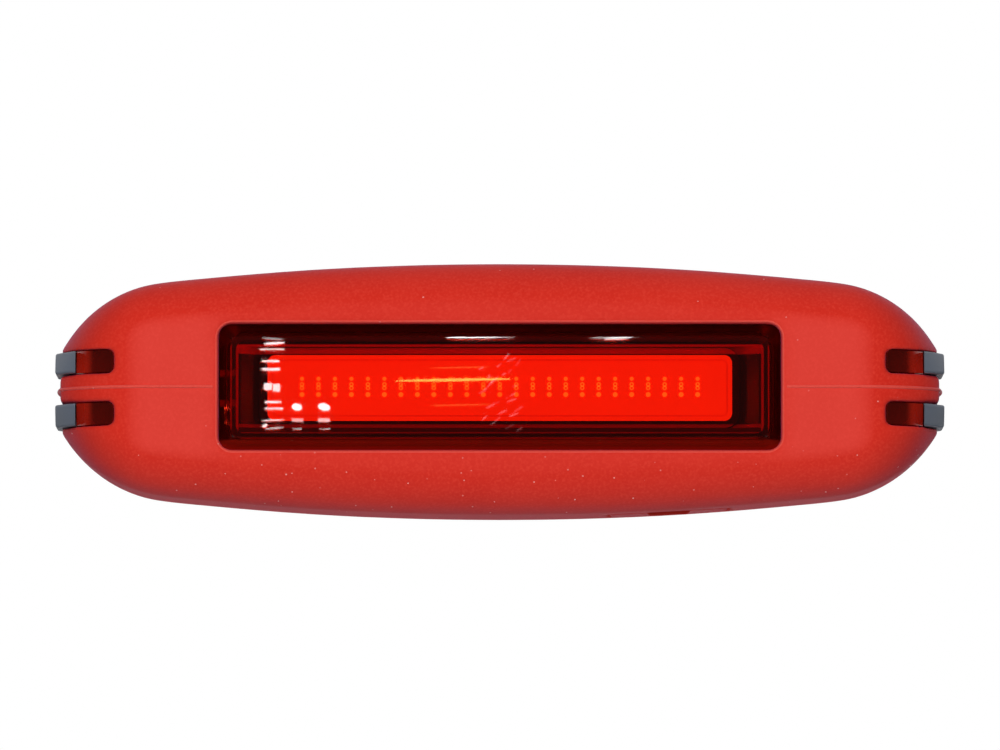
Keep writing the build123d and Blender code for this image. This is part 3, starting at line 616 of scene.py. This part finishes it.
# Open-cell polyurethane foam, sliced: black and porous
BLACK_FOAM = Finish(
    "sliced_polyurethane_foam", "#1b1b1c", "#2a2a2b", 0.95, 1.45, grain_mm=0.35, grain_depth_mm=0.12
)
# Glass-epoxy board under green lacquer: tracks show as paler bands
GREEN_BOARD = BoardFinish("green_lacquered_glass_epoxy", "#1d5c34", "#1a5230", 0.3, 1.5)
# Epoxy moulding compound round a chip: matt black
BLACK_EPOXY = Finish("black_moulded_epoxy", "#1a1a1c", "#212124", 0.5, 1.55, grain_mm=0.1)
# Sintered ferrite: dark grey and slightly rough
FERRITE = Finish("sintered_ferrite", "#3a3836", "#454240", 0.6, 1.8, grain_mm=0.15)
# Fired ceramic with tinned ends: buff
CERAMIC = Finish("fired_ceramic", "#b08a5c", "#a57f52", 0.4, 1.7)
# PVC-covered wire, extruded: shiny red
RED_WIRE = Finish("red_extruded_pvc", "#c0231c", "#b01f19", 0.35, 1.53)
# Paper, calendered and uncoated: pale and matt
PAPER = PaperFinish("pale_matt_paper", "#f4f4f4", "#f1f1f1", 0.9, patch_mm=80.0, grain_depth_mm=0.0)


@cache
def material_of(finish: Finish) -> bpy.types.Material:
    """Return the one material of a finish."""
    return finish.build()


def dress_nodes(finish: Finish, *nodes: str) -> None:
    """Give carried-over nodes their finish.

    Args:
        finish: The finish.
        nodes: Names of nodes of the frame.
    """
    for name in nodes:
        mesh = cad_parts[name].data
        mesh.materials.clear()
        mesh.materials.append(material_of(finish))
        LOG.info("dressed %s in %s", name, finish.name)


def place_piece(
    name: str, mesh: bpy.types.Mesh, finish: Finish, body: Body
) -> bpy.types.Object:
    """Add a finished piece to the scene and let it ride on its body.

    Args:
        name: Name of the piece.
        mesh: Its mesh, in the frame's own place.
        finish: Its finish.
        body: The body that carries it.

    Returns:
        The new object.
    """
    mesh.name = name
    mesh.materials.clear()
    mesh.materials.append(material_of(finish))
    mesh.shade_smooth()
    piece = bpy.data.objects.new(name, mesh)
    bpy.context.scene.collection.objects.link(piece)
    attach(piece, body.value)
    LOG.info("built %s: %d faces", name, len(mesh.polygons))
    return piece


def finished(work: bmesh.types.BMesh) -> bpy.types.Mesh:
    """Turn a mesh that was worked on into a plain one.

    Args:
        work: The mesh that was worked on. It can't be used again.

    Returns:
        The plain mesh.
    """
    mesh = bpy.data.meshes.new("finished")
    work.to_mesh(mesh)
    work.free()
    return mesh


def skinned(rows: list[list[Vector]], closed: bool = False) -> bpy.types.Mesh:
    """Skin rows of points with four-sided faces.

    Args:
        rows: The rows, each with as many points as the next.
        closed: Whether the last row joins the first.

    Returns:
        The mesh.
    """
    work = bmesh.new()
    grid = [[work.verts.new(point) for point in row] for row in rows]
    for near, far in zip(grid, grid[1:] + (grid[:1] if closed else [])):
        for at in range(len(near) - 1):
            work.faces.new((near[at], near[at + 1], far[at + 1], far[at]))
    bmesh.ops.recalc_face_normals(work, faces=work.faces)
    return finished(work)


def join_rings(work: bmesh.types.BMesh, outer: list, inner: list) -> None:
    """Fill the flat band between two rings of corners.

    Args:
        work: The mesh that gets the faces.
        outer: Corners of the outer ring.
        inner: As many corners of the inner ring.
    """
    for at in range(len(outer)):
        after = (at + 1) % len(outer)
        work.faces.new((outer[at], outer[after], inner[after], inner[at]))


def evenly(steps: int) -> list[float]:
    """Return shares from -1 to 1, in even steps, with the given number on each side of 0."""
    return [step / steps for step in range(-steps, steps + 1)]


def softened(node: str, voxel_mm: float, passes: int) -> bpy.types.Mesh:
    """Copy a soft solid's mesh and round its edges as a mould does.

    Args:
        node: Name of the node.
        voxel_mm: Size of the new mesh's faces.
        passes: How many times the surface is smoothed.

    Returns:
        The new mesh.
    """
    work = bmesh.new()
    work.from_mesh(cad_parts[node].data)
    bmesh.ops.remove_doubles(work, verts=work.verts, dist=WELD_MM * MM)
    holder = bpy.data.objects.new("holder", finished(work))
    bpy.context.scene.collection.objects.link(holder)
    skin = holder.modifiers.new("skin", "REMESH")
    skin.mode = "VOXEL"
    skin.voxel_size = voxel_mm * MM
    soften = holder.modifiers.new("soften", "SMOOTH")
    soften.factor = SMOOTHING
    soften.iterations = passes
    result = bpy.data.meshes.new_from_object(holder.evaluated_get(bpy.context.evaluated_depsgraph_get()))
    bpy.data.objects.remove(holder)
    return result


@dataclass
class Jacket:
    """The silicone sleeve over the body, with its moulding seam and the bead round its window.

    Attributes:
        voxel_mm: Size of the sleeve's faces.
        smooth_passes: How many times the sleeve is smoothed.
        seam_width_mm: Width of the seam.
        seam_height_mm: Height of the seam.
        seam_start_mm: Distance along X from the dark frame to where the seam starts.
        seam_steps: Number of steps round one end.
        seam_section: Steps from the seam's crest to its foot.
        nub_height_mm: How much higher the seam is at the nub.
        nub_width: Half the nub's length, as a turn in radians.
        nub_spread_mm: How much wider the seam is at the nub.
        root_mm: How far the feet of the seam and the bead lie under the surface.
        lip_reach_mm: Distance from the dark frame to the bead.
        lip_step_mm: Size of a step along the bead's straight runs.
        lip_corner_mm: Radius of the bead's corners.
        lip_steps: Number of steps round a corner.
        lip_section: Steps from the bead's crest to its foot.
        lip_width_mm: Width of the bead.
        lip_height_mm: Height of the bead.
    """

    voxel_mm: float = 0.24
    smooth_passes: int = 10
    seam_width_mm: float = 0.36
    seam_height_mm: float = 0.19
    seam_start_mm: float = 2.3
    seam_steps: int = 90
    seam_section: int = 4
    nub_height_mm: float = 0.25
    nub_width: float = 0.06
    nub_spread_mm: float = 0.7
    root_mm: float = 0.02
    lip_reach_mm: float = 1.92
    lip_step_mm: float = 1.0
    lip_corner_mm: float = 1.6
    lip_steps: int = 8
    lip_section: int = 3
    lip_width_mm: float = 0.26
    lip_height_mm: float = 0.07

    def build(self) -> None:
        """Build the sleeve, its seam and its bead."""
        sleeve = softened("silicone_jacket", self.voxel_mm, self.smooth_passes)
        faces = [face.vertices[:] for face in sleeve.polygons]
        surface = BVHTree.FromPolygons([v.co for v in sleeve.vertices], faces)
        piece = place_piece("jacket_sleeve", sleeve, RED_SILICONE, Body.LIGHT)
        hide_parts("silicone_jacket")
        # The bead and the seams take the paler rubber: a painted highlight along their crests
        place_piece("window_lip_painted_highlight", self.lip(surface), PAINTED_HIGHLIGHT_SILICONE, Body.LIGHT)
        for side in Side:
            name = f"jacket_seam_{side.name.lower()}"
            place_piece(name, self.seam(surface, side), PAINTED_HIGHLIGHT_SILICONE, Body.LIGHT)

    def seam(self, surface: BVHTree, side: Side) -> bpy.types.Mesh:
        """Make the ridge that the mould's halves leave round one end.

        Args:
            surface: The sleeve's surface.
            side: Which end.

        Returns:
            The ridge, with a small nub where the flash was torn off.
        """
        low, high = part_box("silicone_jacket")
        reach = high.y - low.y
        middle = Vector((side.value * (high.x - reach / 2), (high.y + low.y) / 2, 0))
        start_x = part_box("bezel_frame")[1].x + self.seam_start_mm * MM
        first = math.atan2(low.y - middle.y, start_x - middle.x * side.value)
        rows = []
        for step in range(self.seam_steps + 1):
            turn = first + (math.pi / 2 - first) * step / self.seam_steps
            out = Vector((side.value * math.cos(turn), math.sin(turn), 0))
            hit, normal, _, _ = surface.ray_cast(middle + RAY_START * reach * out, -out)
            if hit is None:
                continue
            bulge = math.exp(-((turn / self.nub_width) ** 2))
            section = evenly(self.seam_section)
            rows.append([self.ridge_point(hit, normal, bulge, across) for across in section])
        return skinned(rows)

    def ridge_point(self, hit: Vector, normal: Vector, bulge: float, across: float) -> Vector:
        """Place one point of the ridge's section.

        Args:
            hit: Point of the sleeve under the ridge's crest.
            normal: The sleeve's normal there.
            bulge: How far the ridge is swollen towards the nub, from 0 to 1.
            across: Place across the ridge, from -1 to 1.

        Returns:
            The point.
        """
        rise = (1 - across**2) * (self.seam_height_mm + self.nub_height_mm * bulge) - self.root_mm
        width = self.seam_width_mm + self.nub_spread_mm * bulge
        return hit + normal * rise * MM + Vector((0, 0, across * width / 2 * MM))

    def lip(self, surface: BVHTree) -> bpy.types.Mesh:
        """Make the thin bead along the edge of the window, which carries a painted highlight.

        Args:
            surface: The sleeve's surface.

        Returns:
            The bead, a closed ring.
        """
        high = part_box("bezel_frame")[1]
        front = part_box("silicone_jacket")[0].y
        corner = self.lip_corner_mm * MM
        half = Vector((high.x, 0, high.z)) + Vector((1, 0, 1)) * (self.lip_reach_mm * MM - corner)
        rows = []
        for sign_x, sign_z, first in ((1, 1, 0), (-1, 1, 90), (-1, -1, 180), (1, -1, 270)):
            middle = Vector((sign_x * half.x, front - corner, sign_z * half.z))
            for step in range(self.lip_steps + 1):
                turn = math.radians(first + 90 * step / self.lip_steps)
                out = Vector((math.cos(turn), 0, math.sin(turn)))
                rows.append(self.lip_row(surface, middle + out * corner, out))
            length = 2 * (half.z if first % 180 else half.x)
            count = int(length / (self.lip_step_mm * MM))
            run = Vector((-out.z, 0, out.x)) * (length / count)
            for step in range(1, count):
                rows.append(self.lip_row(surface, middle + out * corner + run * step, out))
        return skinned(rows, closed=True)

    def lip_row(self, surface: BVHTree, start: Vector, out: Vector) -> list[Vector]:
        """Place one section of the bead.

        Args:
            surface: The sleeve's surface.
            start: The section's middle, in front of the sleeve.
            out: Direction away from the window.

        Returns:
            The section's points.
        """
        points = []
        for across in evenly(self.lip_section):
            hit = surface.ray_cast(start + out * across * self.lip_width_mm / 2 * MM, Vector((0, 1, 0)))[0]
            rise = (1 - across**2) * self.lip_height_mm - self.root_mm
            points.append(hit - Vector((0, rise * MM, 0)))
        return points


@dataclass
class LightStrip:
    """The strip behind the lens, in a painted glow as though lit, with its chips' marks and its thin edge.

    Attributes:
        dot_mm: Radius of the upper dot of a chip's mark.
        dot_level_mm: Height of that dot.
        ring_mm: Radius of the rings in the mark.
        ring_wall_mm: Width of a ring's line.
        ring_levels_mm: Heights of the rings.
        foot_mm: Radius of the lower dot.
        foot_level_mm: Height of that dot.
        stand_mm: How far the marks stand out from the strip.
        sides: Number of corners of a circle.
        chip_gap_mm: The smallest gap between two chips.
        edge_inset_mm: Distance from the strip's outline to the dark line in it.
        edge_width_mm: Width of that line.
        edge_corner_mm: Radius of its corners.
        edge_sides: Number of its corners' steps, all four together.
    """

    dot_mm: float = 0.2
    dot_level_mm: float = 0.92
    ring_mm: float = 0.22
    ring_wall_mm: float = 0.12
    ring_levels_mm: tuple[float, float] = (0.36, 0.0)
    foot_mm: float = 0.24
    foot_level_mm: float = -0.66
    stand_mm: float = 0.02
    sides: int = 20
    chip_gap_mm: float = 0.6
    edge_inset_mm: float = 0.42
    edge_width_mm: float = 0.16
    edge_corner_mm: float = 0.6
    edge_sides: int = 80

    def build(self) -> None:
        """Dress the strip's nodes, and build the chip marks and the edge."""
        dress_nodes(PHOSPHOR, "cob_phosphor")
        dress_nodes(DARK_DAM, "cob_dam")
        dress_nodes(CHIPS, "led_dies")
        dress_nodes(BLACK_LACQUER, "cob_board")
        dress_nodes(BLACK_BEZEL, "bezel_frame")
        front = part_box("cob_phosphor")[0].y - self.stand_mm * MM
        place_piece("chip_marks", self.marks(front), CHIP_MARK_GLOW, Body.LIGHT)
        place_piece("strip_edge", self.edge(front), PHOSPHOR_EDGE, Body.LIGHT)

    def marks(self, front: float) -> bpy.types.Mesh:
        """Make the chips' marks, each two dots with two rings between them.

        Args:
            front: Where the marks lie along Y.

        Returns:
            The marks, in one mesh.
        """
        work = bmesh.new()
        for x in self.chip_places():
            work.faces.new(self.circle(work, (x, front, self.dot_level_mm * MM), self.dot_mm))
            work.faces.new(self.circle(work, (x, front, self.foot_level_mm * MM), self.foot_mm))
            for level in self.ring_levels_mm:
                outer = self.circle(work, (x, front, level * MM), self.ring_mm)
                inner = self.circle(work, (x, front, level * MM), self.ring_mm - self.ring_wall_mm)
                join_rings(work, outer, inner)
        return finished(work)

    def chip_places(self) -> list[float]:
        """Find the X of each chip from the chips' own solids.

        Returns:
            The places, from left to right.
        """
        places = sorted(v.co.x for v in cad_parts["led_dies"].data.vertices)
        groups = [[places[0]]]
        for x in places[1:]:
            if x - groups[-1][-1] > self.chip_gap_mm * MM:
                groups.append([])
            groups[-1].append(x)
        return [(group[0] + group[-1]) / 2 for group in groups]

    def circle(self, work: bmesh.types.BMesh, centre: tuple[float, float, float], radius_mm: float) -> list:
        """Add the corners of a circle that faces the front.

        Args:
            work: The mesh that gets the corners.
            centre: The circle's centre.
            radius_mm: Its radius.

        Returns:
            The corners.
        """
        x, y, z = centre
        turns = [2 * math.pi * step / self.sides for step in range(self.sides)]
        radius = radius_mm * MM
        return [work.verts.new((x + radius * math.cos(t), y, z + radius * math.sin(t))) for t in turns]

    def edge(self, front: float) -> bpy.types.Mesh:
        """Make the thin dark line just inside the strip's outline.

        Args:
            front: Where the line lies along Y.

        Returns:
            The line, a flat ring.
        """
        work = bmesh.new()
        outer = self.outline(work, front, self.edge_inset_mm, self.edge_corner_mm)
        inner_corner = self.edge_corner_mm - self.edge_width_mm
        inner = self.outline(work, front, self.edge_inset_mm + self.edge_width_mm, inner_corner)
        join_rings(work, outer, inner)
        return finished(work)

    def outline(self, work: bmesh.types.BMesh, front: float, inset_mm: float, corner_mm: float) -> list:
        """Add the corners of a rounded rectangle that lies inside the strip's outline.

        Args:
            work: The mesh that gets the corners.
            front: Where they lie along Y.
            inset_mm: Distance to the strip's outline.
            corner_mm: Radius of the rounding.

        Returns:
            The corners.
        """
        low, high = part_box("cob_phosphor")
        half_x = (high.x - low.x) / 2 - (inset_mm + corner_mm) * MM
        half_z = (high.z - low.z) / 2 - (inset_mm + corner_mm) * MM
        corners = []
        for step in range(self.edge_sides):
            turn = 2 * math.pi * (step + 0.5) / self.edge_sides
            out = Vector((math.cos(turn), 0, math.sin(turn)))
            middle = Vector((math.copysign(half_x, out.x), front, math.copysign(half_z, out.z)))
            corners.append(work.verts.new(middle + out * corner_mm * MM))
        return corners


@dataclass
class Shells:
    """The two hard shells, what joins them, and the pieces sealed in them."""

    def build(self) -> None:
        """Dress the nodes."""
        dress_nodes(RED_POLYCARBONATE, "lens_cover")
        dress_nodes(GREY_ABS, "rear_housing")
        dress_nodes(BLACK_RUBBER, "seal_ring")
        dress_nodes(STEEL, "housing_screws", "board_screws")
        dress_nodes(CLEAR_POLYCARBONATE, "indicator_window")
        dress_nodes(BRUSHED_ALUMINIUM, "heat_plate")
        dress_nodes(THERMAL_TAPE, "thermal_tape")


@dataclass
class Electronics:
    """The cell, the boards and what is soldered to them."""

    def build(self) -> None:
        """Dress the nodes."""
        dress_nodes(POUCH_FOIL, "battery")
        dress_nodes(BLACK_FOAM, "battery_foam")
        dress_nodes(GREEN_BOARD, "protection_board", "main_board")
        dress_nodes(RED_WIRE, "battery_leads", "led_leads")
        dress_nodes(BLACK_EPOXY, "led_driver", "tact_switch")
        dress_nodes(FERRITE, "inductor")
        dress_nodes(CERAMIC, "capacitors", "charge_led")
        dress_nodes(STEEL, "usb_socket")


@dataclass
class Controls:
    """The power button with its seal, and the flap of the charging port.

    Attributes:
        flap_voxel_mm: Size of the flap's faces.
        smooth_passes: How many times the flap is smoothed.
    """

    flap_voxel_mm: float = 0.14
    smooth_passes: int = 4

    def build(self) -> None:
        """Dress the button and build the flap."""
        dress_nodes(BLACK_RUBBER, "power_button", "button_seal", "switch_plunger")
        flap = softened("usb_flap", self.flap_voxel_mm, self.smooth_passes)
        piece = place_piece("port_flap", flap, RED_SILICONE, Body.FLAP)
        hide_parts("usb_flap")


@dataclass
class SeatpostMount:
    """The rubber strap with its pin, and the pad between the light and the post.

    Attributes:
        voxel_mm: Size of the rubber pieces' faces.
        smooth_passes: How many times they are smoothed.
    """

    voxel_mm: float = 0.2
    smooth_passes: int = 5

    def build(self) -> None:
        """Build the strap and the pad, and dress the pin."""
        dress_nodes(STEEL, "strap_pin")
        for node, name in (("mounting_strap", "post_strap"), ("saddle_pad", "post_pad")):
            mesh = softened(node, self.voxel_mm, self.smooth_passes)
            piece = place_piece(name, mesh, BLACK_RUBBER, Body.LIGHT)
            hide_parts(node)


@dataclass(frozen=True)
class Softbox:
    """A soft lamp that faces the light.

    Attributes:
        name: Name of the lamp.
        place_mm: Where it hangs, from the light's middle.
        size_mm: Its width and height.
        watts: Its power.
        mirrored: Whether shiny surfaces mirror it.
        through: Whether it shows through the lens.
    """

    name: str
    place_mm: tuple[float, float, float]
    size_mm: tuple[float, float]
    watts: float
    mirrored: bool = True
    through: bool = True


SOFTBOXES = (
    Softbox("key_lamp", (-40, -700, 190), (420, 300), 4.5, mirrored=False, through=False),
    Softbox("top_lamp", (100, -60, 700), (300, 300), 0.4),
    Softbox("back_lamp", (0, 700, 60), (300, 300), 2.6, mirrored=False),
)


@dataclass(frozen=True)
class Glint:
    """One reflection in the lens, as a patch of the picture.

    Attributes:
        left: Left edge, in pixels.
        right: Right edge.
        top: Top edge.
        bottom: Bottom edge.
        turn: How far it is turned, in degrees.
        share: Its brightness as a share of the brightest.
        colour: Its colour.
    """

    left: float
    right: float
    top: float
    bottom: float
    turn: float
    share: float
    colour: str = WHITE


YELLOW_GLINT = "#ffe066"
PINK_GLINT = "#ffd8dc"
GLINTS = (
    Glint(262, 284, 338, 339.5, -4, 0.35),
    Glint(264, 285, 342, 344.5, 4, 0.75),
    Glint(259, 284, 348.5, 350, 0, 0.75),
    Glint(262, 279, 360, 362, 0, 0.9),
    Glint(262, 280, 368, 370.5, 0, 0.9),
    Glint(264, 272, 383, 390, 0, 0.85),
    Glint(273, 280, 384, 391.5, 0, 0.8),
    Glint(265, 281, 401, 403, 0, 0.9),
    Glint(265, 283, 407.5, 409.5, 0, 0.7),
    Glint(261, 284, 419.5, 421, 2, 0.55),
    Glint(262, 268, 424, 427, 30, 0.7),
    Glint(265, 284, 427.5, 429, 5, 0.45),
    Glint(292, 302, 403.5, 410.5, -12, 0.9),
    Glint(318, 330, 403.5, 410.5, -12, 0.9),
    Glint(292, 303, 418.5, 422, 0, 0.4),
    Glint(318, 330, 418.5, 422, 0, 0.5),
    Glint(293, 302, 428.5, 429.5, 0, 0.5),
    Glint(319, 330, 428.5, 429.5, 0, 0.5),
    Glint(446, 516, 335.6, 338, 1, 0.9),
    Glint(590, 640, 335.8, 338.2, 2, 0.3),
    Glint(604, 632, 336.6, 339.6, 4, 0.5),
    Glint(395, 511, 378.6, 381.2, 1, 0.5, YELLOW_GLINT),
    Glint(430, 490, 367, 368, 1, 0.1, YELLOW_GLINT),
    Glint(430, 490, 404.5, 405.5, 1, 0.1, YELLOW_GLINT),
)


@dataclass(frozen=True)
class Smudge:
    """The cloudy reflection near the middle of the lens, made of short slanting strokes.

    Attributes:
        seed: Seed of the strokes' draws.
        rows: Number of strokes, one under the other.
        left_px: Where a stroke may start, in pixels.
        top_px: Where the first one lies.
        row_px: Distance between two of them.
        length_px: How long they may be.
        width_px: How thick they are.
        turn: How far they may be turned, in degrees.
        share: How bright they may be.
    """

    seed: int = 5
    rows: int = 26
    left_px: tuple[float, float] = (478, 516)
    top_px: float = 356
    row_px: float = 2.9
    length_px: tuple[float, float] = (4, 11)
    width_px: float = 1.6
    turn: tuple[float, float] = (20, 60)
    share: tuple[float, float] = (0.02, 0.13)

    def strokes(self) -> list[Glint]:
        """Draw the strokes.

        Returns:
            One glint for each stroke.
        """
        chance = random.Random(self.seed)
        strokes = []
        for row in range(self.rows):
            left = chance.uniform(*self.left_px)
            top = self.top_px + self.row_px * row
            right = left + chance.uniform(*self.length_px)
            turn, share = chance.uniform(*self.turn), chance.uniform(*self.share)
            strokes.append(Glint(left, right, top, top + self.width_px, turn, share, PINK_GLINT))
        return strokes


@dataclass
class Studio:
    """The plain floor, the soft lamps and the camera.

    Attributes:
        distance_mm: Distance from the camera to the light's middle.
        view_width_mm: Width of the picture there.
        elevation: How high the camera looks from, in degrees.
        centre_px: Where the light's middle falls in the picture.
        sensor_mm: Width of the camera's sensor.
        clip_m: The nearest and the farthest that the camera sees.
        face_inset_mm: Distance from the jacket's front to the lens's face.
        glint_distance_mm: Distance from the lens to the lamps that it mirrors.
        glint_radiance: Radiance of the brightest of them.
        floor_drop_mm: Distance from the light down to the floor.
        floor_size_mm: Width of the floor.
        fill: Strength of the surroundings as a lamp.
        front_dim: Their strength where a surface mirrors what is in front of the light.
        dim_until: How far back their direction points, from 0 to 1, where they start to brighten.
        white_from: The same where they are white.
        centre: The light's middle.
    """

    distance_mm: float = 1500.0
    view_width_mm: float = 100.6
    elevation: float = -3.5
    centre_px: tuple[float, float] = (499.8, 392.5)
    sensor_mm: float = 36.0
    clip_m: tuple[float, float] = (0.1, 20.0)
    face_inset_mm: float = 0.3
    glint_distance_mm: float = 300.0
    glint_radiance: float = 19.0
    floor_drop_mm: float = 400.0
    floor_size_mm: float = 3000.0
    fill: float = 0.06
    front_dim: float = 0.03
    dim_until: float = 0.1
    white_from: float = 0.5
    centre: Vector = field(default_factory=Vector)

    def build(self) -> None:
        """Build the floor, the world, the lamps and the camera."""
        low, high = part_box("silicone_jacket")
        self.centre = (low + high) / 2
        self.floor()
        self.world()
        for box in SOFTBOXES:
            self.hang(box)
        self.camera()
        for glint in (*GLINTS, *Smudge().strokes()):
            self.mirror(glint)

    def floor(self) -> None:
        """Lay the pale floor under the light."""
        half = self.floor_size_mm * MM / 2
        level = -self.floor_drop_mm * MM
        corners = [(x, y, level) for x, y in ((-half, -half), (half, -half), (half, half), (-half, half))]
        mesh = bpy.data.meshes.new("floor")
        mesh.from_pydata(corners, [], [(0, 1, 2, 3)])
        mesh.materials.append(material_of(PAPER))
        floor = bpy.data.objects.new("floor", mesh)
        bpy.context.scene.collection.objects.link(floor)

    def world(self) -> None:
        """Make the surroundings: white to the eye and behind the light, dim in front of it."""
        world = bpy.data.worlds.new("studio")
        bpy.context.scene.world = world
        world.use_nodes = True
        tree = world.node_tree
        place = add_node(tree, "TexCoord").outputs["Generated"]
        back = add_node(tree, "SeparateXYZ", {0: place}).outputs[Axis.DEPTH.value]
        span = {"From Min": self.dim_until, "From Max": self.white_from}
        strengths = {"To Min": self.front_dim, "To Max": 1.0}
        mirrored = add_node(tree, "MapRange", {"Value": back, **span, **strengths}).outputs["Result"]
        rays = add_node(tree, "LightPath").outputs
        shiny = {0: rays["Is Glossy Ray"], 1: rays["Is Transmission Ray"]}
        glossy = add_node(tree, "Math", shiny, operation="MAXIMUM").outputs[0]
        soft = add_node(tree, "Mix", {0: glossy, 2: self.fill, 3: mirrored}).outputs[0]
        strength = add_node(tree, "Mix", {0: rays["Is Camera Ray"], 2: soft, 3: 1.0}).outputs[0]
        tree.links.new(strength, tree.nodes["Background"].inputs["Strength"])
        tree.nodes["Background"].inputs["Color"].default_value = linear(WHITE)

    def hang(self, box: Softbox) -> None:
        """Hang a soft lamp.

        Args:
            box: The lamp.
        """
        data = bpy.data.lights.new(box.name, "AREA")
        data.shape = "RECTANGLE"
        data.size, data.size_y = (size * MM for size in box.size_mm)
        data.energy = box.watts
        lamp = bpy.data.objects.new(box.name, data)
        lamp.location = self.centre + Vector(box.place_mm) * MM
        lamp.rotation_euler = (self.centre - lamp.location).to_track_quat("-Z", "Y").to_euler()
        lamp.visible_camera = False
        lamp.visible_glossy = box.mirrored
        lamp.visible_transmission = box.through
        bpy.context.scene.collection.objects.link(lamp)

    def camera(self) -> None:
        """Set up the camera at the photograph's angle, with the light's middle where it lies there."""
        lift = math.radians(self.elevation)
        back = Vector((0, -math.cos(lift), math.sin(lift)))
        up = Vector((0, math.sin(lift), math.cos(lift)))
        px = self.view_width_mm * MM / IMAGE_WIDTH
        across = (IMAGE_WIDTH / 2 - self.centre_px[0]) * px
        above = (self.centre_px[1] - IMAGE_HEIGHT / 2) * px
        aim = self.centre + Vector((across, 0, 0)) + up * above
        data = bpy.data.cameras.new("camera")
        data.sensor_width = self.sensor_mm
        data.lens = self.sensor_mm * self.distance_mm / self.view_width_mm
        data.clip_start, data.clip_end = self.clip_m
        camera = bpy.data.objects.new("camera", data)
        facing = (-back).to_track_quat("-Z", "Y").to_matrix().to_4x4()
        camera.matrix_world = Matrix.Translation(aim + back * self.distance_mm * MM) @ facing
        bpy.context.scene.collection.objects.link(camera)
        bpy.context.scene.camera = camera

    def mirror(self, glint: Glint) -> None:
        """Hang a small lamp where the lens mirrors it into its patch of the picture.

        Args:
            glint: The patch.
        """
        px = self.view_width_mm / IMAGE_WIDTH
        camera = bpy.context.scene.camera.matrix_world
        across = ((glint.left + glint.right - IMAGE_WIDTH) / 2) * px
        above = ((IMAGE_HEIGHT - glint.top - glint.bottom) / 2) * px
        ray = camera.to_3x3() @ Vector((across, above, -self.distance_mm))
        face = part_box("silicone_jacket")[0].y + self.face_inset_mm * MM
        eye = camera.translation
        point = eye + ray * ((face - eye.y) / ray.y)
        out = Vector((ray.x, -ray.y, ray.z)).normalized()
        data = bpy.data.lights.new("glint", "AREA")
        data.shape = "ELLIPSE" if glint.turn else "RECTANGLE"
        grow = 1 + self.glint_distance_mm / self.distance_mm
        data.size = (glint.right - glint.left) * px * grow * MM
        data.size_y = (glint.bottom - glint.top) * px * grow * MM
        data.energy = math.pi * self.glint_radiance * glint.share * data.size * data.size_y
        data.color = linear(glint.colour)[:3]
        lamp = bpy.data.objects.new("glint", data)
        facing = out.to_track_quat("Z", "Y").to_matrix().to_4x4()
        place = Matrix.Translation(point + out * self.glint_distance_mm * MM)
        lamp.matrix_world = place @ facing @ Matrix.Rotation(math.radians(glint.turn), 4, "Z")
        lamp.visible_camera = False
        bpy.context.scene.collection.objects.link(lamp)


def main() -> None:
    """Build every sub-assembly in order and log each one's name."""
    logging.basicConfig(level=logging.INFO, format="%(message)s")
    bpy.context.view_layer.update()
    assemblies = (Shells(), LightStrip(), Electronics(), Controls(), SeatpostMount(), Jacket(), Studio())
    for assembly in assemblies:
        LOG.info("sub-assembly %s", type(assembly).__name__)
        assembly.build()
    bpy.context.scene.view_settings.view_transform = "Standard"


if __name__ == "__main__":
    main()
